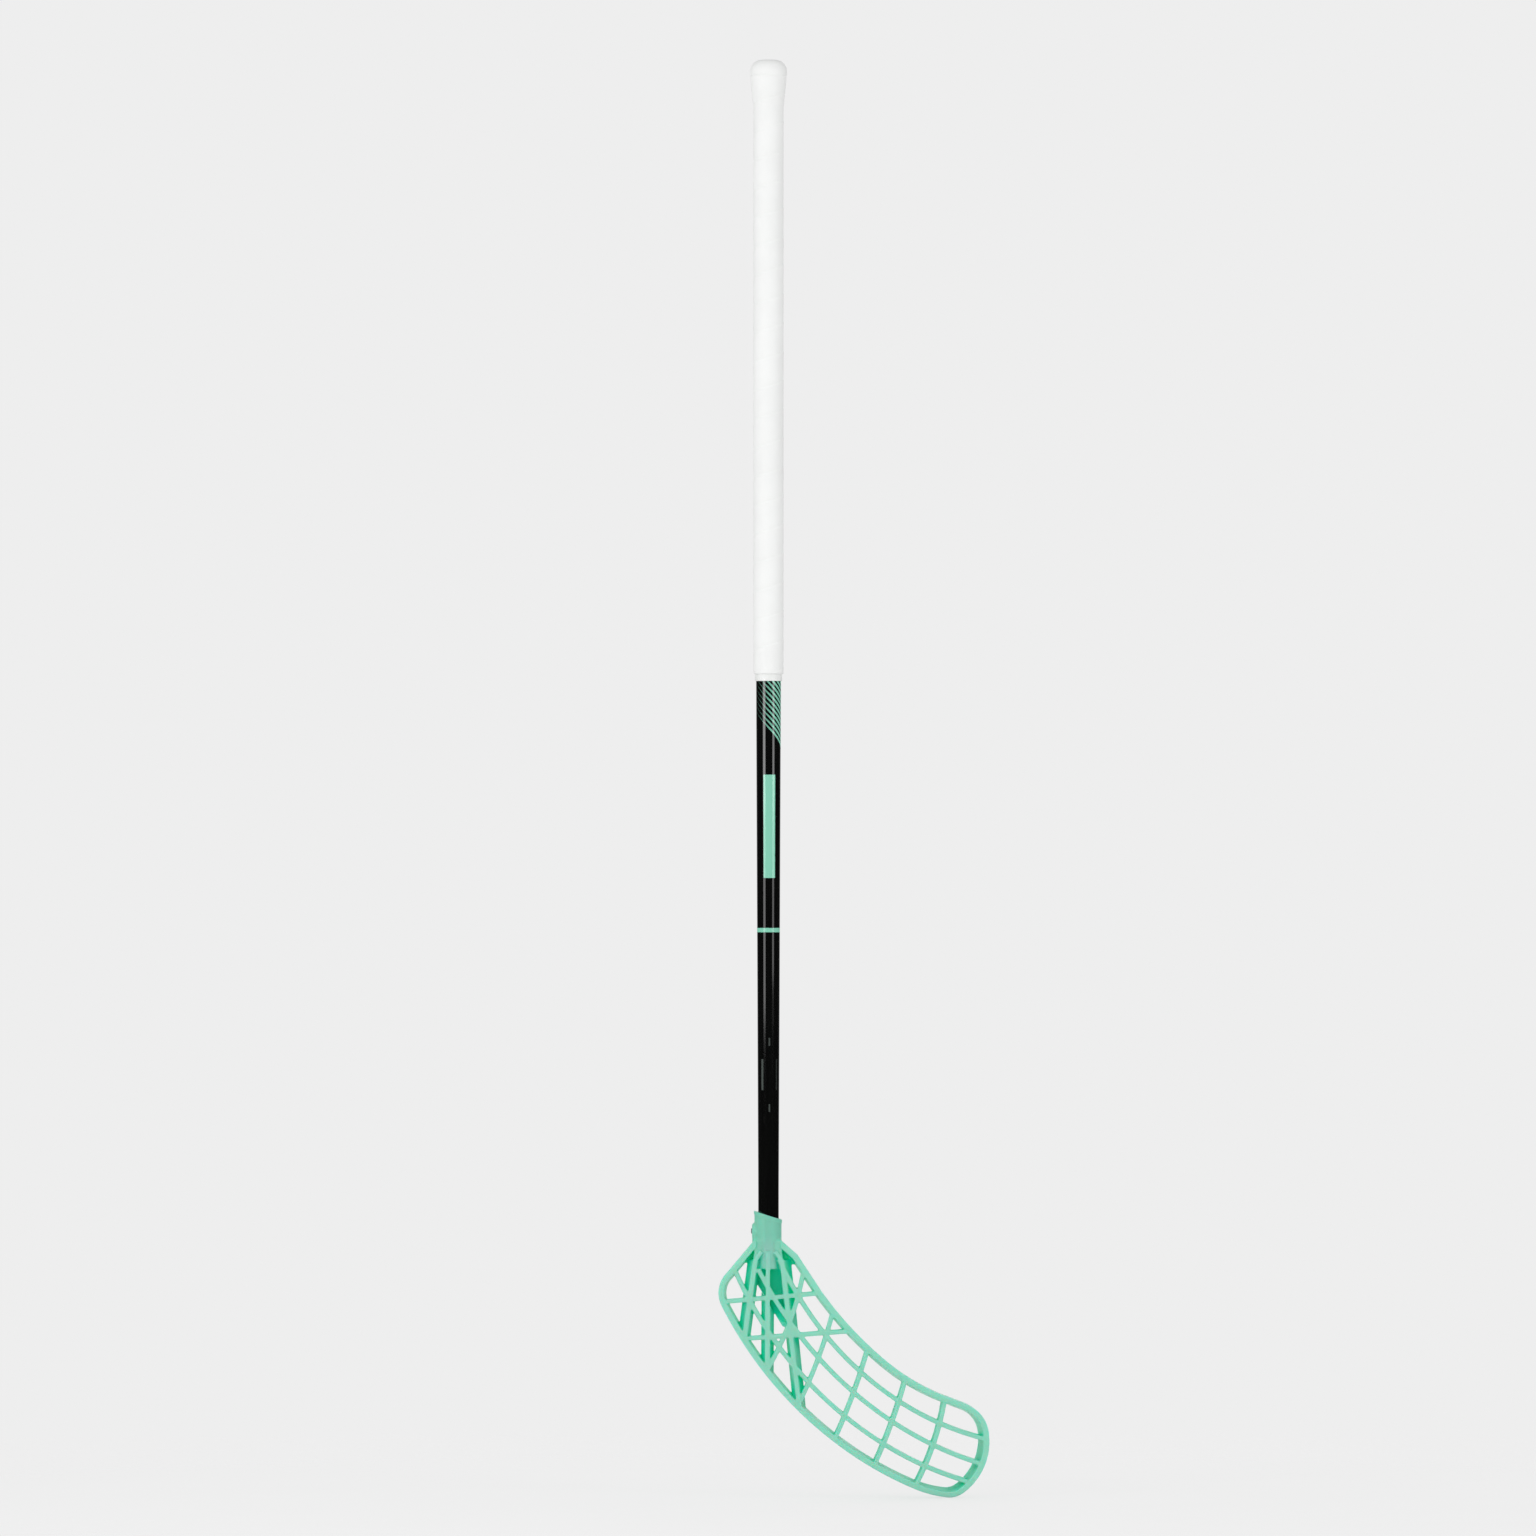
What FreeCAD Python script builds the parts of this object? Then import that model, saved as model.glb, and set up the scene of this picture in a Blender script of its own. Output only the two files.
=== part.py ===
"""Floorball stick.

A hollow tapered shaft carries a butt cap and a taped grip at its upper end. A moulded lattice
blade, held by one screw, sits on its lower end. Lengths are in millimetres, angles in degrees.

Z runs up the axis of the shaft, X points from the shaft to the toe of the blade, and the convex
side of the blade looks to -Y. The origin is where the upper hand holds the grip.
"""
import math
import os

import FreeCAD, Part
import Sketcher
from FreeCAD import Placement, Rotation, Vector

SIZES = (
    # Shaft
    ("butt_height", 60, "butt face above the upper hand"),
    ("shaft_length", 960, "length of the tube"),
    ("shaft_top_diameter", 20, "tube under the grip"),
    ("shaft_low_diameter", 16.6, "tube in the socket"),
    ("shaft_wall", 1.4, "wall of the tube"),
    ("shaft_low_straight", 60, "straight lower end of the tube"),
    ("shaft_taper_length", 405, "tapered length above it"),
    ("fit_clearance", 0.1, "radial clearance of pieces that fit round or into others"),
    # Butt cap
    ("cap_head", 5, "head of the cap above the tube"),
    ("cap_skirt", 8, "skirt of the cap outside the tube"),
    ("cap_plug_length", 26, "plug of the cap inside the tube"),
    ("cap_wall", 2.4, "wall of the plug"),
    ("knob_diameter", 29.6, "widest part of the cap"),
    ("knob_round", 9.4, "rounded shoulder of the knob"),
    # Grip and its finishing tape
    ("grip_length", 478.6, "grip from the knob to its lower end"),
    ("grip_diameter", 24, "outside of the grip"),
    ("grip_flare_diameter", 28.6, "grip under the knob"),
    ("grip_flare_length", 22, "flared length under the knob"),
    ("grip_end_chamfer", 0.9, "chamfer of the grip's lower edge"),
    ("tape_width", 5.6, "finishing tape along the shaft"),
    ("tape_diameter", 21.8, "outside of the finishing tape"),
    # Blade outline and bend
    ("toe_reach", 177, "toe from the axis of the shaft"),
    ("blade_drop", 206, "lowest point of the sole below the neck"),
    ("blade_front", 11.2, "front of the blade ahead of the axis"),
    ("toe_slope", 30, "fall of the blade's long direction"),
    ("bend_start", 60, "where the bend starts along the long direction"),
    ("bend_radius", 600, "radius of the convex side"),
    # Rim and ribs
    ("rim_width", 4.6, "front of the rim"),
    ("rim_draft", 1.9, "growth of the rim from front to back"),
    ("rim_depth", 13, "rim from front to back"),
    ("rib_width", 3.4, "front of a lattice rib"),
    ("rib_draft", 0.25, "growth of a lattice rib at each side"),
    ("rib_recess", 0.5, "lattice behind the front of the rim"),
    ("rib_depth", 7, "lattice rib from front to back"),
    ("fan_width", 3.4, "front of a deep fan rib"),
    ("fan_draft", 3.5, "growth of a fan rib at each side up to its widest"),
    ("fan_part", 8.5, "widest part of a fan rib behind its front"),
    ("fan_recess", 0.25, "fan ribs behind the front of the rim"),
    ("fan_neck_depth", 20, "fan ribs from front to back at the neck"),
    ("fan_sole_depth", 13.5, "fan ribs from front to back at the sole"),
    ("gusset_depth", 4, "webs between the socket and the rim"),
    # Socket
    ("shaft_past_neck", 20, "end of the shaft below the neck"),
    ("socket_diameter", 20.9, "outside of the socket"),
    ("socket_rise", 20.4, "socket above the neck at the axis"),
    ("socket_slope", 17.6, "fall of the socket's mouth towards the toe"),
    ("lip_rise", 0.45, "bead round the mouth of the socket"),
    ("lip_height", 2.4, "height of the bead"),
    ("window_drop", 22.4, "lower edge of the socket's front wall below the neck"),
    ("scoop_radius", 74, "back wall of the socket where it turns into the lattice"),
    ("scoop_turn", 40, "turn of that wall"),
    ("panel_width", 5.4, "sunk panel on the front of the socket"),
    ("panel_length", 26.5, "height of that panel"),
    ("panel_drop", 9, "rounded foot of that panel below the neck"),
    ("panel_depth", 0.55, "depth of that panel"),
    # Screw
    ("screw_rise", 7.8, "screw above the neck"),
    ("boss_diameter", 13.5, "boss of the screw"),
    ("boss_reach", 13.2, "face of the boss from the axis"),
    ("boss_chamfer", 1.5, "chamfer of the boss"),
    ("boss_rise", 0.2, "face of the boss above the foot under it"),
    ("boss_foot_width", 9, "foot of the boss from front to back"),
    ("heel_reach", 11.3, "heel side of the socket from the axis"),
    ("screw_head_diameter", 4.2, "head of the screw"),
    ("screw_head_height", 0.75, "head of the screw above the boss"),
    ("screw_diameter", 3, "shank of the screw"),
    ("screw_length", 9, "shank of the screw from the boss inwards"),
    ("screw_point", 1.6, "tapered end of the shank"),
    ("screw_head_chamfer", 0.45, "chamfer of the screw's head"),
    ("overrun", 4, "how far cutting and trimming tools reach past what they cut"),
)

# Outline of the blade: each piece ends at a share of (toe_reach, blade_drop) and, where it is
# an arc, passes through another. It starts at the heel side of the neck.
OUTLINE_START_SHARES = (-0.068, 0.0)
OUTLINE_SHARES = (
    ((-0.189, 0.124), None),
    ((-0.212, 0.252), (-0.225, 0.186)),
    ((0.666, 0.968), (0.154, 0.676)),
    ((0.805, 1.0), (0.734, 0.988)),
    ((0.878, 0.987), (0.845, 0.9986)),
    ((1.0, 0.767), (0.973, 0.891)),
    ((0.901, 0.639), (0.973, 0.690)),
    ((0.793, 0.602), None),
    ((0.522, 0.458), (0.658, 0.5435)),
    ((0.241, 0.197), (0.377, 0.339)),
    ((0.131, 0.053), None),
    ((0.060, 0.0), None),
    (OUTLINE_START_SHARES, None),
)

# Lattice ribs: start, a point on the way (None for a straight rib) and end, in the same shares.
LONG_RIB_SHARES = (
    ((0.059, 0.090), (0.419, 0.510), (0.972, 0.771)),
    ((-0.035, 0.128), (0.387, 0.589), (0.940, 0.864)),
    ((-0.148, 0.120), (0.189, 0.556), (0.889, 0.936)),
)
CROSS_RIB_SHARES = (
    ((0.154, 0.136), (0.096, 0.314), (-0.001, 0.492)),
    ((0.290, 0.279), (0.225, 0.457), (0.142, 0.623)),
    ((0.447, 0.425), (0.387, 0.587), (0.308, 0.754)),
    ((0.617, 0.548), (0.562, 0.699), (0.488, 0.857)),
    ((0.797, 0.627), (0.751, 0.786), (0.673, 0.944)),
)
LEVEL_RIB_SHARES = (
    ((-0.194, 0.235), None, (0.221, 0.203)),
    ((-0.093, 0.378), None, (0.368, 0.350)),
)
FAN_RIB_SHARES = (
    ((-0.059, 0.074), None, (-0.107, 0.370)),
    ((-0.002, 0.041), None, (-0.005, 0.489)),
    ((0.059, 0.074), None, (0.138, 0.632)),
)
# The same ribs where they are widest: the one at the toe side leans away from the socket.
FAN_PART_SHARES = (
    ((-0.065, 0.074), None, (-0.110, 0.370)),
    ((-0.002, 0.041), None, (-0.005, 0.489)),
    ((0.073, 0.074), None, (0.140, 0.632)),
)
# Upper ends of the outer fan ribs, which turn in on the front of the socket.
FAN_TOP_SHARES = (
    ((-0.032, 0.040), None, (-0.0465, 0.0582)),
    ((0.030, 0.040), None, (0.0455, 0.0582)),
)
# Webs in the corners between the socket and the rim.
GUSSET_SHARES = (
    ((-0.050, 0.010), (-0.075, 0.010), (-0.128, 0.085), (-0.060, 0.085)),
    ((0.050, 0.010), (0.068, 0.010), (0.134, 0.060), (0.140, 0.092), (0.060, 0.092)),
)
# Bands that make up the rounded shoulder of the knob.
KNOB_BANDS = 2
# Half the gap in the rim that the socket fills, as a share of the socket's radius.
NECK_GAP_SHARE = 0.95
# Line along which the scoop ends, from the heel side to the toe side.
SCOOP_END_SHARES = ((-0.068, 0.145), (0.062, 0.330))

doc = FreeCAD.newDocument("floorball_stick")
sheet = doc.addObject("Spreadsheet::Sheet", "Sizes")
for row, (alias, value, note) in enumerate(SIZES, start=1):
    sheet.set(f"A{row}", alias)
    sheet.set(f"B{row}", str(value))
    sheet.set(f"C{row}", note)
    sheet.setAlias(f"B{row}", alias)
doc.recompute()


def size(alias):
    """Return the value of a cell of the sheet."""
    return float(sheet.get(alias))


def bind(item, **expressions):
    """Bind properties of an object to expressions in the sheet's aliases."""
    for name, expression in expressions.items():
        item.setExpression(name.replace("__", "."), expression)
    return item


def place(item, base, axis=Vector(0, 0, 1), angle=0):
    """Give an object its place: a base point and a turn about an axis through it."""
    item.Placement = Placement(base, Rotation(axis, angle))
    return item


def plane_of(body, role):
    """Return one of the base planes of a body."""
    return next(item for item in body.Origin.OriginFeatures if item.Role == role)


def profile(body, role, corners):
    """Add a closed polygon sketch whose corners are pairs of expressions.

    A corner's None lies on the sketch's axis. Every corner is dimensioned, so the polygon that
    the sketch starts from only has to be closed.
    """
    sketch = body.newObject("Sketcher::SketchObject", body.Label + "_profile")
    sketch.AttachmentSupport = [(plane_of(body, role), "")]
    sketch.MapMode = "FlatFace"
    count = len(corners)
    turn = 2 * math.pi / count
    start = [Vector(math.cos(k * turn), math.sin(k * turn), 0) for k in range(count)]
    for k in range(count):
        sketch.addGeometry(Part.LineSegment(start[k], start[(k + 1) % count]))
    for k in range(count):
        sketch.addConstraint(Sketcher.Constraint("Coincident", k, 2, (k + 1) % count, 1))
    for k, (across, up) in enumerate(corners):
        for kind, axis, at, expression in (
            ("DistanceX", -2, start[k].x, across),
            ("DistanceY", -1, start[k].y, up),
        ):
            if expression is None:
                sketch.addConstraint(Sketcher.Constraint("PointOnObject", k, 1, axis))
                continue
            index = sketch.addConstraint(Sketcher.Constraint(kind, -1, 1, k, 1, at))
            sketch.setExpression(f"Constraints[{index}]", expression)
    return sketch


def turned(label, corners):
    """Return a body made by turning a profile of (radius, height) corners about its axis."""
    body = doc.addObject("PartDesign::Body", label)
    sketch = profile(body, "XZ_Plane", corners)
    turning = body.newObject("PartDesign::Revolution", label + "_turning")
    turning.Profile = sketch
    turning.ReferenceAxis = (sketch, ["V_Axis"])
    turning.Angle = 360
    sketch.Visibility = False
    doc.recompute()
    return body


def break_edge(body, height, radius, width):
    """Chamfer the circular edge of a turned body at a height and radius."""
    tip = body.Tip
    near = min(
        range(len(tip.Shape.Edges)),
        key=lambda k: edge_miss(tip.Shape.Edges[k], height, radius),
    )
    chamfer = body.newObject("PartDesign::Chamfer", body.Label + "_chamfer")
    chamfer.Base = (tip, [f"Edge{near + 1}"])
    chamfer.setExpression("Size", width)
    doc.recompute()
    return chamfer


def edge_miss(edge, height, radius):
    """Return how far an edge is from being the circle at a height and radius."""
    if not isinstance(edge.Curve, Part.Circle):
        return math.inf
    centre = edge.Curve.Center
    return abs(centre.z - height) + abs(edge.Curve.Radius - radius)


def drill(body, role, height, radius):
    """Cut a round hole through one side of a body, square to one of its base planes."""
    sketch = body.newObject("Sketcher::SketchObject", body.Label + "_hole_profile")
    sketch.AttachmentSupport = [(plane_of(body, role), "")]
    sketch.MapMode = "FlatFace"
    sketch.addGeometry(Part.Circle(Vector(0, 1, 0), Vector(0, 0, 1), 1))
    sketch.addConstraint(Sketcher.Constraint("PointOnObject", 0, 3, -2))
    up = sketch.addConstraint(Sketcher.Constraint("DistanceY", -1, 1, 0, 3, 1))
    width = sketch.addConstraint(Sketcher.Constraint("Radius", 0, 1))
    sketch.setExpression(f"Constraints[{up}]", height)
    sketch.setExpression(f"Constraints[{width}]", radius)
    hole = body.newObject("PartDesign::Pocket", body.Label + "_hole")
    hole.Profile = sketch
    hole.Type = "ThroughAll"
    sketch.Visibility = False
    doc.recompute()
    return hole


# Shaft, from its lower end up
shaft = turned(
    "shaft",
    (
        ("Sizes.shaft_low_diameter / 2", None),
        ("Sizes.shaft_low_diameter / 2", "Sizes.shaft_low_straight"),
        ("Sizes.shaft_top_diameter / 2", "Sizes.shaft_low_straight + Sizes.shaft_taper_length"),
        ("Sizes.shaft_top_diameter / 2", "Sizes.shaft_length"),
        ("Sizes.shaft_top_diameter / 2 - Sizes.shaft_wall", "Sizes.shaft_length"),
        (
            "Sizes.shaft_top_diameter / 2 - Sizes.shaft_wall",
            "Sizes.shaft_low_straight + Sizes.shaft_taper_length",
        ),
        ("Sizes.shaft_low_diameter / 2 - Sizes.shaft_wall", "Sizes.shaft_low_straight"),
        ("Sizes.shaft_low_diameter / 2 - Sizes.shaft_wall", None),
    ),
)
drill(
    shaft,
    "YZ_Plane",
    "Sizes.shaft_past_neck + Sizes.screw_rise",
    "Sizes.screw_diameter / 2 + Sizes.fit_clearance",
)
SHAFT_FOOT = "Sizes.butt_height - Sizes.cap_head - Sizes.shaft_length"
bind(shaft, Placement__Base__z=SHAFT_FOOT)

# Butt cap, from the end of its plug up
cap_bore = "Sizes.shaft_top_diameter / 2 - Sizes.shaft_wall - Sizes.fit_clearance"
cap_slot = "Sizes.shaft_top_diameter / 2 + Sizes.fit_clearance"


def knob_shoulder():
    """Return the corners of the knob's rounded shoulder, from its side to its flat face."""
    corners = []
    for band in range(KNOB_BANDS + 1):
        turn = 90 * band / KNOB_BANDS
        across = f"Sizes.knob_diameter / 2 - Sizes.knob_round * (1 - cos({turn} deg))"
        down = f"Sizes.knob_round * (1 - sin({turn} deg))"
        corners.append((across, f"Sizes.cap_plug_length + Sizes.cap_head - {down}"))
    return tuple(corners)


butt_cap = turned(
    "butt_cap",
    (
        (f"{cap_bore} - Sizes.cap_wall", None),
        (cap_bore, None),
        (cap_bore, "Sizes.cap_plug_length"),
        (cap_slot, "Sizes.cap_plug_length"),
        (cap_slot, "Sizes.cap_plug_length - Sizes.cap_skirt"),
        ("Sizes.knob_diameter / 2", "Sizes.cap_plug_length - Sizes.cap_skirt"),
    )
    + knob_shoulder()
    + (
        (None, "Sizes.cap_plug_length + Sizes.cap_head"),
        (None, "Sizes.cap_plug_length"),
        (f"{cap_bore} - Sizes.cap_wall", "Sizes.cap_plug_length"),
    ),
)
bind(
    butt_cap,
    Placement__Base__z="Sizes.butt_height - Sizes.cap_head - Sizes.cap_plug_length",
)

# Grip, from its lower end up
grip_bore = "Sizes.shaft_top_diameter / 2 + Sizes.fit_clearance"
grip_wrap = turned(
    "grip_wrap",
    (
        (grip_bore, None),
        ("Sizes.grip_diameter / 2", None),
        ("Sizes.grip_diameter / 2", "Sizes.grip_length - Sizes.grip_flare_length"),
        ("Sizes.grip_flare_diameter / 2", "Sizes.grip_length"),
        (grip_bore, "Sizes.grip_length"),
    ),
)
break_edge(grip_wrap, 0, size("grip_diameter") / 2, "Sizes.grip_end_chamfer")
GRIP_FOOT = "Sizes.butt_height - Sizes.cap_head - Sizes.cap_skirt - Sizes.grip_length"
bind(grip_wrap, Placement__Base__z=GRIP_FOOT)

# Finishing tape under the grip
finishing_tape = turned(
    "finishing_tape",
    (
        (grip_bore, None),
        ("Sizes.tape_diameter / 2", None),
        ("Sizes.tape_diameter / 2", "Sizes.tape_width"),
        (grip_bore, "Sizes.tape_width"),
    ),
)
bind(finishing_tape, Placement__Base__z=f"{GRIP_FOOT} - Sizes.tape_width")


# Blade. It is built round the point where the axis of the shaft meets the neck.
def at_shares(shares):
    """Return the point of the blade's plane at shares of its reach and drop."""
    across_share, down_share = shares
    return Vector(size("toe_reach") * across_share, 0, -size("blade_drop") * down_share)


TOE_SLOPE = math.radians(size("toe_slope"))
TOEWARDS = Vector(math.cos(TOE_SLOPE), 0, -math.sin(TOE_SLOPE))
CROSSWISE = Vector(math.sin(TOE_SLOPE), 0, math.cos(TOE_SLOPE))
DEPTHWISE = Vector(0, 1, 0)


def outline_sketch():
    """Return the constrained sketch of the blade's outer outline, in the XZ plane."""
    sketch = doc.addObject("Sketcher::SketchObject", "blade_outline")
    place(sketch, Vector(0, 0, 0), Vector(1, 0, 0), 90)
    starts = (OUTLINE_START_SHARES,) + tuple(end for end, _ in OUTLINE_SHARES[:-1])
    for start, (end, through) in zip(starts, OUTLINE_SHARES):
        first, last = flat(start), flat(end)
        if through is None:
            sketch.addGeometry(Part.LineSegment(first, last))
        else:
            sketch.addGeometry(Part.Arc(first, flat(through), last))
    count = len(OUTLINE_SHARES)
    heads = [head_of(sketch, k, flat(start)) for k, start in enumerate(starts)]
    for k in range(count):
        follower = (k + 1) % count
        sketch.addConstraint(
            Sketcher.Constraint("Coincident", k, 3 - heads[k], follower, heads[follower])
        )
    for k, start in enumerate(starts):
        pin(sketch, k, heads[k], start)
    for k, (_, through) in enumerate(OUTLINE_SHARES):
        if through is not None:
            point = sketch.addGeometry(Part.Point(flat(through)), True)
            pin(sketch, point, 1, through)
            sketch.addConstraint(Sketcher.Constraint("PointOnObject", point, 1, k))
    doc.recompute()
    return sketch


def flat(shares):
    """Return a point of the blade's plane in the coordinates of its sketch."""
    point = at_shares(shares)
    return Vector(point.x, point.z, 0)


def head_of(sketch, index, start):
    """Return which end, 1 or 2, of a sketched edge lies at its start."""
    ends = [sketch.getPoint(index, end) for end in (1, 2)]
    return 1 if (ends[0] - start).Length < (ends[1] - start).Length else 2


def pin(sketch, index, end, shares):
    """Dimension a sketched point by its shares of the blade's reach and drop."""
    point = flat(shares)
    for kind, axis, at, alias, share in (
        ("DistanceX", -2, point.x, "toe_reach", shares[0]),
        ("DistanceY", -1, point.y, "blade_drop", -shares[1]),
    ):
        if share == 0:
            sketch.addConstraint(Sketcher.Constraint("PointOnObject", index, end, axis))
            continue
        datum = sketch.addConstraint(Sketcher.Constraint(kind, -1, 1, index, end, at))
        sketch.setExpression(f"Constraints[{datum}]", f"Sizes.{alias} * {share}")


def front_depth(point):
    """Return the lean in radians and the Y of the bent front of the blade at a point."""
    past = point.dot(TOEWARDS) - size("bend_start")
    if past <= 0:
        return 0.0, -size("blade_front")
    lean = math.asin(past / size("bend_radius"))
    return lean, size("bend_radius") * (1 - math.cos(lean)) - size("blade_front")


def wall_point(front, back, depth, y):
    """Return the point at Y of the wall line through a front point and its back point.

    The wall stands square on the bent front, and moves from front to back over the depth.
    """
    lean, front_y = front_depth(front)
    point = front + (back - front) * ((y - front_y) / depth)
    point = point - TOEWARDS * (math.tan(lean) * (y - front_y))
    return Vector(point.x, y, point.z)


def edge_points(wire):
    """Return the points, two for a line and three for an arc, that define each edge."""
    pieces = []
    for edge in wire.OrderedEdges:
        ends = [vertex.Point for vertex in edge.Vertexes]
        if edge.Orientation == "Reversed":
            ends.reverse()
        if isinstance(edge.Curve, Part.Line):
            pieces.append(ends)
            continue
        middle = edge.valueAt((edge.FirstParameter + edge.LastParameter) / 2)
        pieces.append([ends[0], middle, ends[-1]])
    return pieces


def edge_through(points):
    """Return the line between two points or the arc through three."""
    curve = Part.LineSegment(*points) if len(points) == 2 else Part.Arc(*points)
    return curve.toShape()


def wall_wire(front, back, depth, y):
    """Return the wire at Y through the walls between a front wire and a back wire."""
    edges = []
    for front_piece, back_piece in zip(edge_points(front), edge_points(back)):
        points = [wall_point(a, b, depth, y) for a, b in zip(front_piece, back_piece)]
        edges.append(edge_through(points))
    return Part.Wire(edges)


def walled(front, back, depth, ends=None):
    """Return the solid whose walls run from a front wire to a back wire over a depth.

    It reaches through the Y range of its ends, or else through the whole blade.
    """
    wires = [wall_wire(front, back, depth, y) for y in ends or wall_range()]
    return Part.makeLoft(wires, True, True)


def bend_end():
    """Return the angle at which the bent sheets end, past the toe."""
    toe = Vector(size("toe_reach"), 0, -size("blade_drop")).dot(TOEWARDS)
    return math.asin((toe + size("overrun") - size("bend_start")) / size("bend_radius"))


def wall_range():
    """Return the Y range that holds the whole blade."""
    drop = size("bend_radius") * (1 - math.cos(bend_end()))
    near = -size("blade_front") - size("overrun")
    return near, near + drop + size("fan_neck_depth") + 2 * size("overrun")


def bent_sheet(recess, depth):
    """Return a bent sheet that starts a recess behind the blade's front."""
    radius = size("bend_radius")
    start = size("bend_start")
    turn = bend_end()
    span = size("toe_reach") + size("blade_drop")

    def on_sheet(back, lean):
        reach = radius - back
        along = start + reach * math.sin(lean)
        return TOEWARDS * along + DEPTHWISE * (radius - size("blade_front") - reach * math.cos(lean))

    front, back = recess, recess + depth
    heel = -TOEWARDS * (span + start)
    corners = [on_sheet(front, 0), on_sheet(front, turn), on_sheet(back, turn), on_sheet(back, 0)]
    edges = [
        Part.Arc(corners[0], on_sheet(front, turn / 2), corners[1]).toShape(),
        Part.LineSegment(corners[1], corners[2]).toShape(),
        Part.Arc(corners[2], on_sheet(back, turn / 2), corners[3]).toShape(),
        Part.LineSegment(corners[3], corners[3] + heel).toShape(),
        Part.LineSegment(corners[3] + heel, corners[0] + heel).toShape(),
        Part.LineSegment(corners[0] + heel, corners[0]).toShape(),
    ]
    sheet_side = Part.Face(Part.Wire(edges))
    sheet_side.translate(CROSSWISE * -span)
    return sheet_side.extrude(CROSSWISE * (2 * span))


def rib_band(shares, width, lead):
    """Return the closed outline of a rib of a width along its line.

    It starts a lead ahead of its first point, and ends past its last point, inside the rim.
    """
    start, through, end = shares
    first, last = at_shares(start), at_shares(end)
    reach = size("rim_width")
    if through is None:
        along = (last - first).normalize()
        side = along.cross(DEPTHWISE) * (width / 2)
        first = first - along * lead
        last = last + along * reach
        return Part.makePolygon([first + side, last + side, last - side, first - side, first + side])
    line = Part.Arc(first, at_shares(through), last).toShape()
    centre, radius, spin = line.Curve.Center, line.Curve.Radius, line.Curve.Axis
    ends = (-lead / radius, (line.Length + reach) / radius)
    middle = (ends[0] + ends[1]) / 2

    def on_rib(angle, offset):
        arm = Rotation(spin, math.degrees(angle)).multVec(first - centre)
        return centre + arm * ((radius + offset) / radius)

    outer = [on_rib(angle, width / 2) for angle in (ends[0], middle, ends[1])]
    inner = [on_rib(angle, -width / 2) for angle in (ends[1], middle, ends[0])]
    edges = [
        Part.Arc(*outer).toShape(),
        Part.LineSegment(outer[2], inner[0]).toShape(),
        Part.Arc(*inner).toShape(),
        Part.LineSegment(inner[2], outer[0]).toShape(),
    ]
    return Part.Wire(edges)


def rib(shares, width, draft, depth, lead):
    """Return one rib, narrow at the front and wider by the draft at each side at the back."""
    front = rib_band(shares, width, lead)
    back = rib_band(shares, width + 2 * draft, lead)
    return walled(front, back, depth)


def fused(solids):
    """Return the union of a list of solids."""
    return solids[0].multiFuse(solids[1:]).removeSplitter()


def shaped(label, shape):
    """Return a document object that holds a shape."""
    item = doc.addObject("Part::Feature", label)
    item.Shape = shape
    return item


outline = outline_sketch()
outline_wire = outline.Shape.Wires[0]


def inset(distance):
    """Return the outline moved inwards by a distance, piece by piece."""
    pieces = edge_points(outline_wire)
    edges = [edge_through(points) for points in pieces]
    middle = Vector(*outline_wire.CenterOfMass)

    def inward(edge, parameter):
        normal = edge.tangentAt(parameter).cross(DEPTHWISE)
        return normal if runs_round_left else -normal

    def corner(before, after):
        leaving = inward(before, before.LastParameter)
        starting = inward(after, after.FirstParameter)
        return (leaving + starting) * (distance / (1 + leaving.dot(starting)))

    turns = [(points[0] - middle).cross(points[-1] - middle).y for points in pieces]
    runs_round_left = sum(turns) < 0
    moved = []
    for k, points in enumerate(pieces):
        edge = edges[k]
        follower = edges[(k + 1) % len(edges)]
        ends = [points[0] + corner(edges[k - 1], edge), points[-1] + corner(edge, follower)]
        if len(points) == 3:
            half_way = (edge.FirstParameter + edge.LastParameter) / 2
            ends.insert(1, edge.valueAt(half_way) + inward(edge, half_way) * distance)
        moved.append(edge_through(ends))
    return Part.Wire(moved)


rim_sheet = bent_sheet(0, size("rim_depth"))
blade_body = walled(outline_wire, outline_wire, size("rim_depth"))
rib_limit = walled(inset(size("rim_width") / 2), inset(size("rim_width") / 2), size("rim_depth"))
opening = walled(
    inset(size("rim_width")),
    inset(size("rim_width") + size("rim_draft")),
    size("rim_depth"),
)


def neck_gap():
    """Return the block that takes the rim out of the socket's place."""
    half = NECK_GAP_SHARE * size("socket_diameter") / 2
    drop = 2 * size("rim_width")
    near, far = wall_range()
    corner = Vector(-half, near, -drop)
    return Part.makeBox(2 * half, far - near, drop + size("overrun"), corner)


rim = shaped("blade_rim", blade_body.common(rim_sheet).cut(opening).cut(neck_gap()))

lattice_space = rib_limit.common(bent_sheet(size("rib_recess"), size("rib_depth")))
lattice_ribs = [
    rib(shares, size("rib_width"), size("rib_draft"), size("rib_depth"), size("rim_width"))
    for shares in LONG_RIB_SHARES + CROSS_RIB_SHARES + LEVEL_RIB_SHARES
]
lattice = shaped("blade_lattice", fused([bar.common(lattice_space) for bar in lattice_ribs]))


def fan_side():
    """Return the prism that holds the deep ribs.

    They grow out of the sides of the socket, and get shallower towards the sole.
    """
    front = size("fan_recess") - size("blade_front")
    knee = -size("window_drop")
    foot = -size("blade_drop")
    half = size("toe_reach")
    corners = [
        Vector(-half, front, 0),
        Vector(-half, 0, 0),
        Vector(-half, front + size("fan_neck_depth"), knee),
        Vector(-half, front + size("fan_sole_depth"), foot),
        Vector(-half, front, foot),
    ]
    return Part.Face(Part.makePolygon(corners + corners[:1])).extrude(Vector(2 * half, 0, 0))


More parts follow.
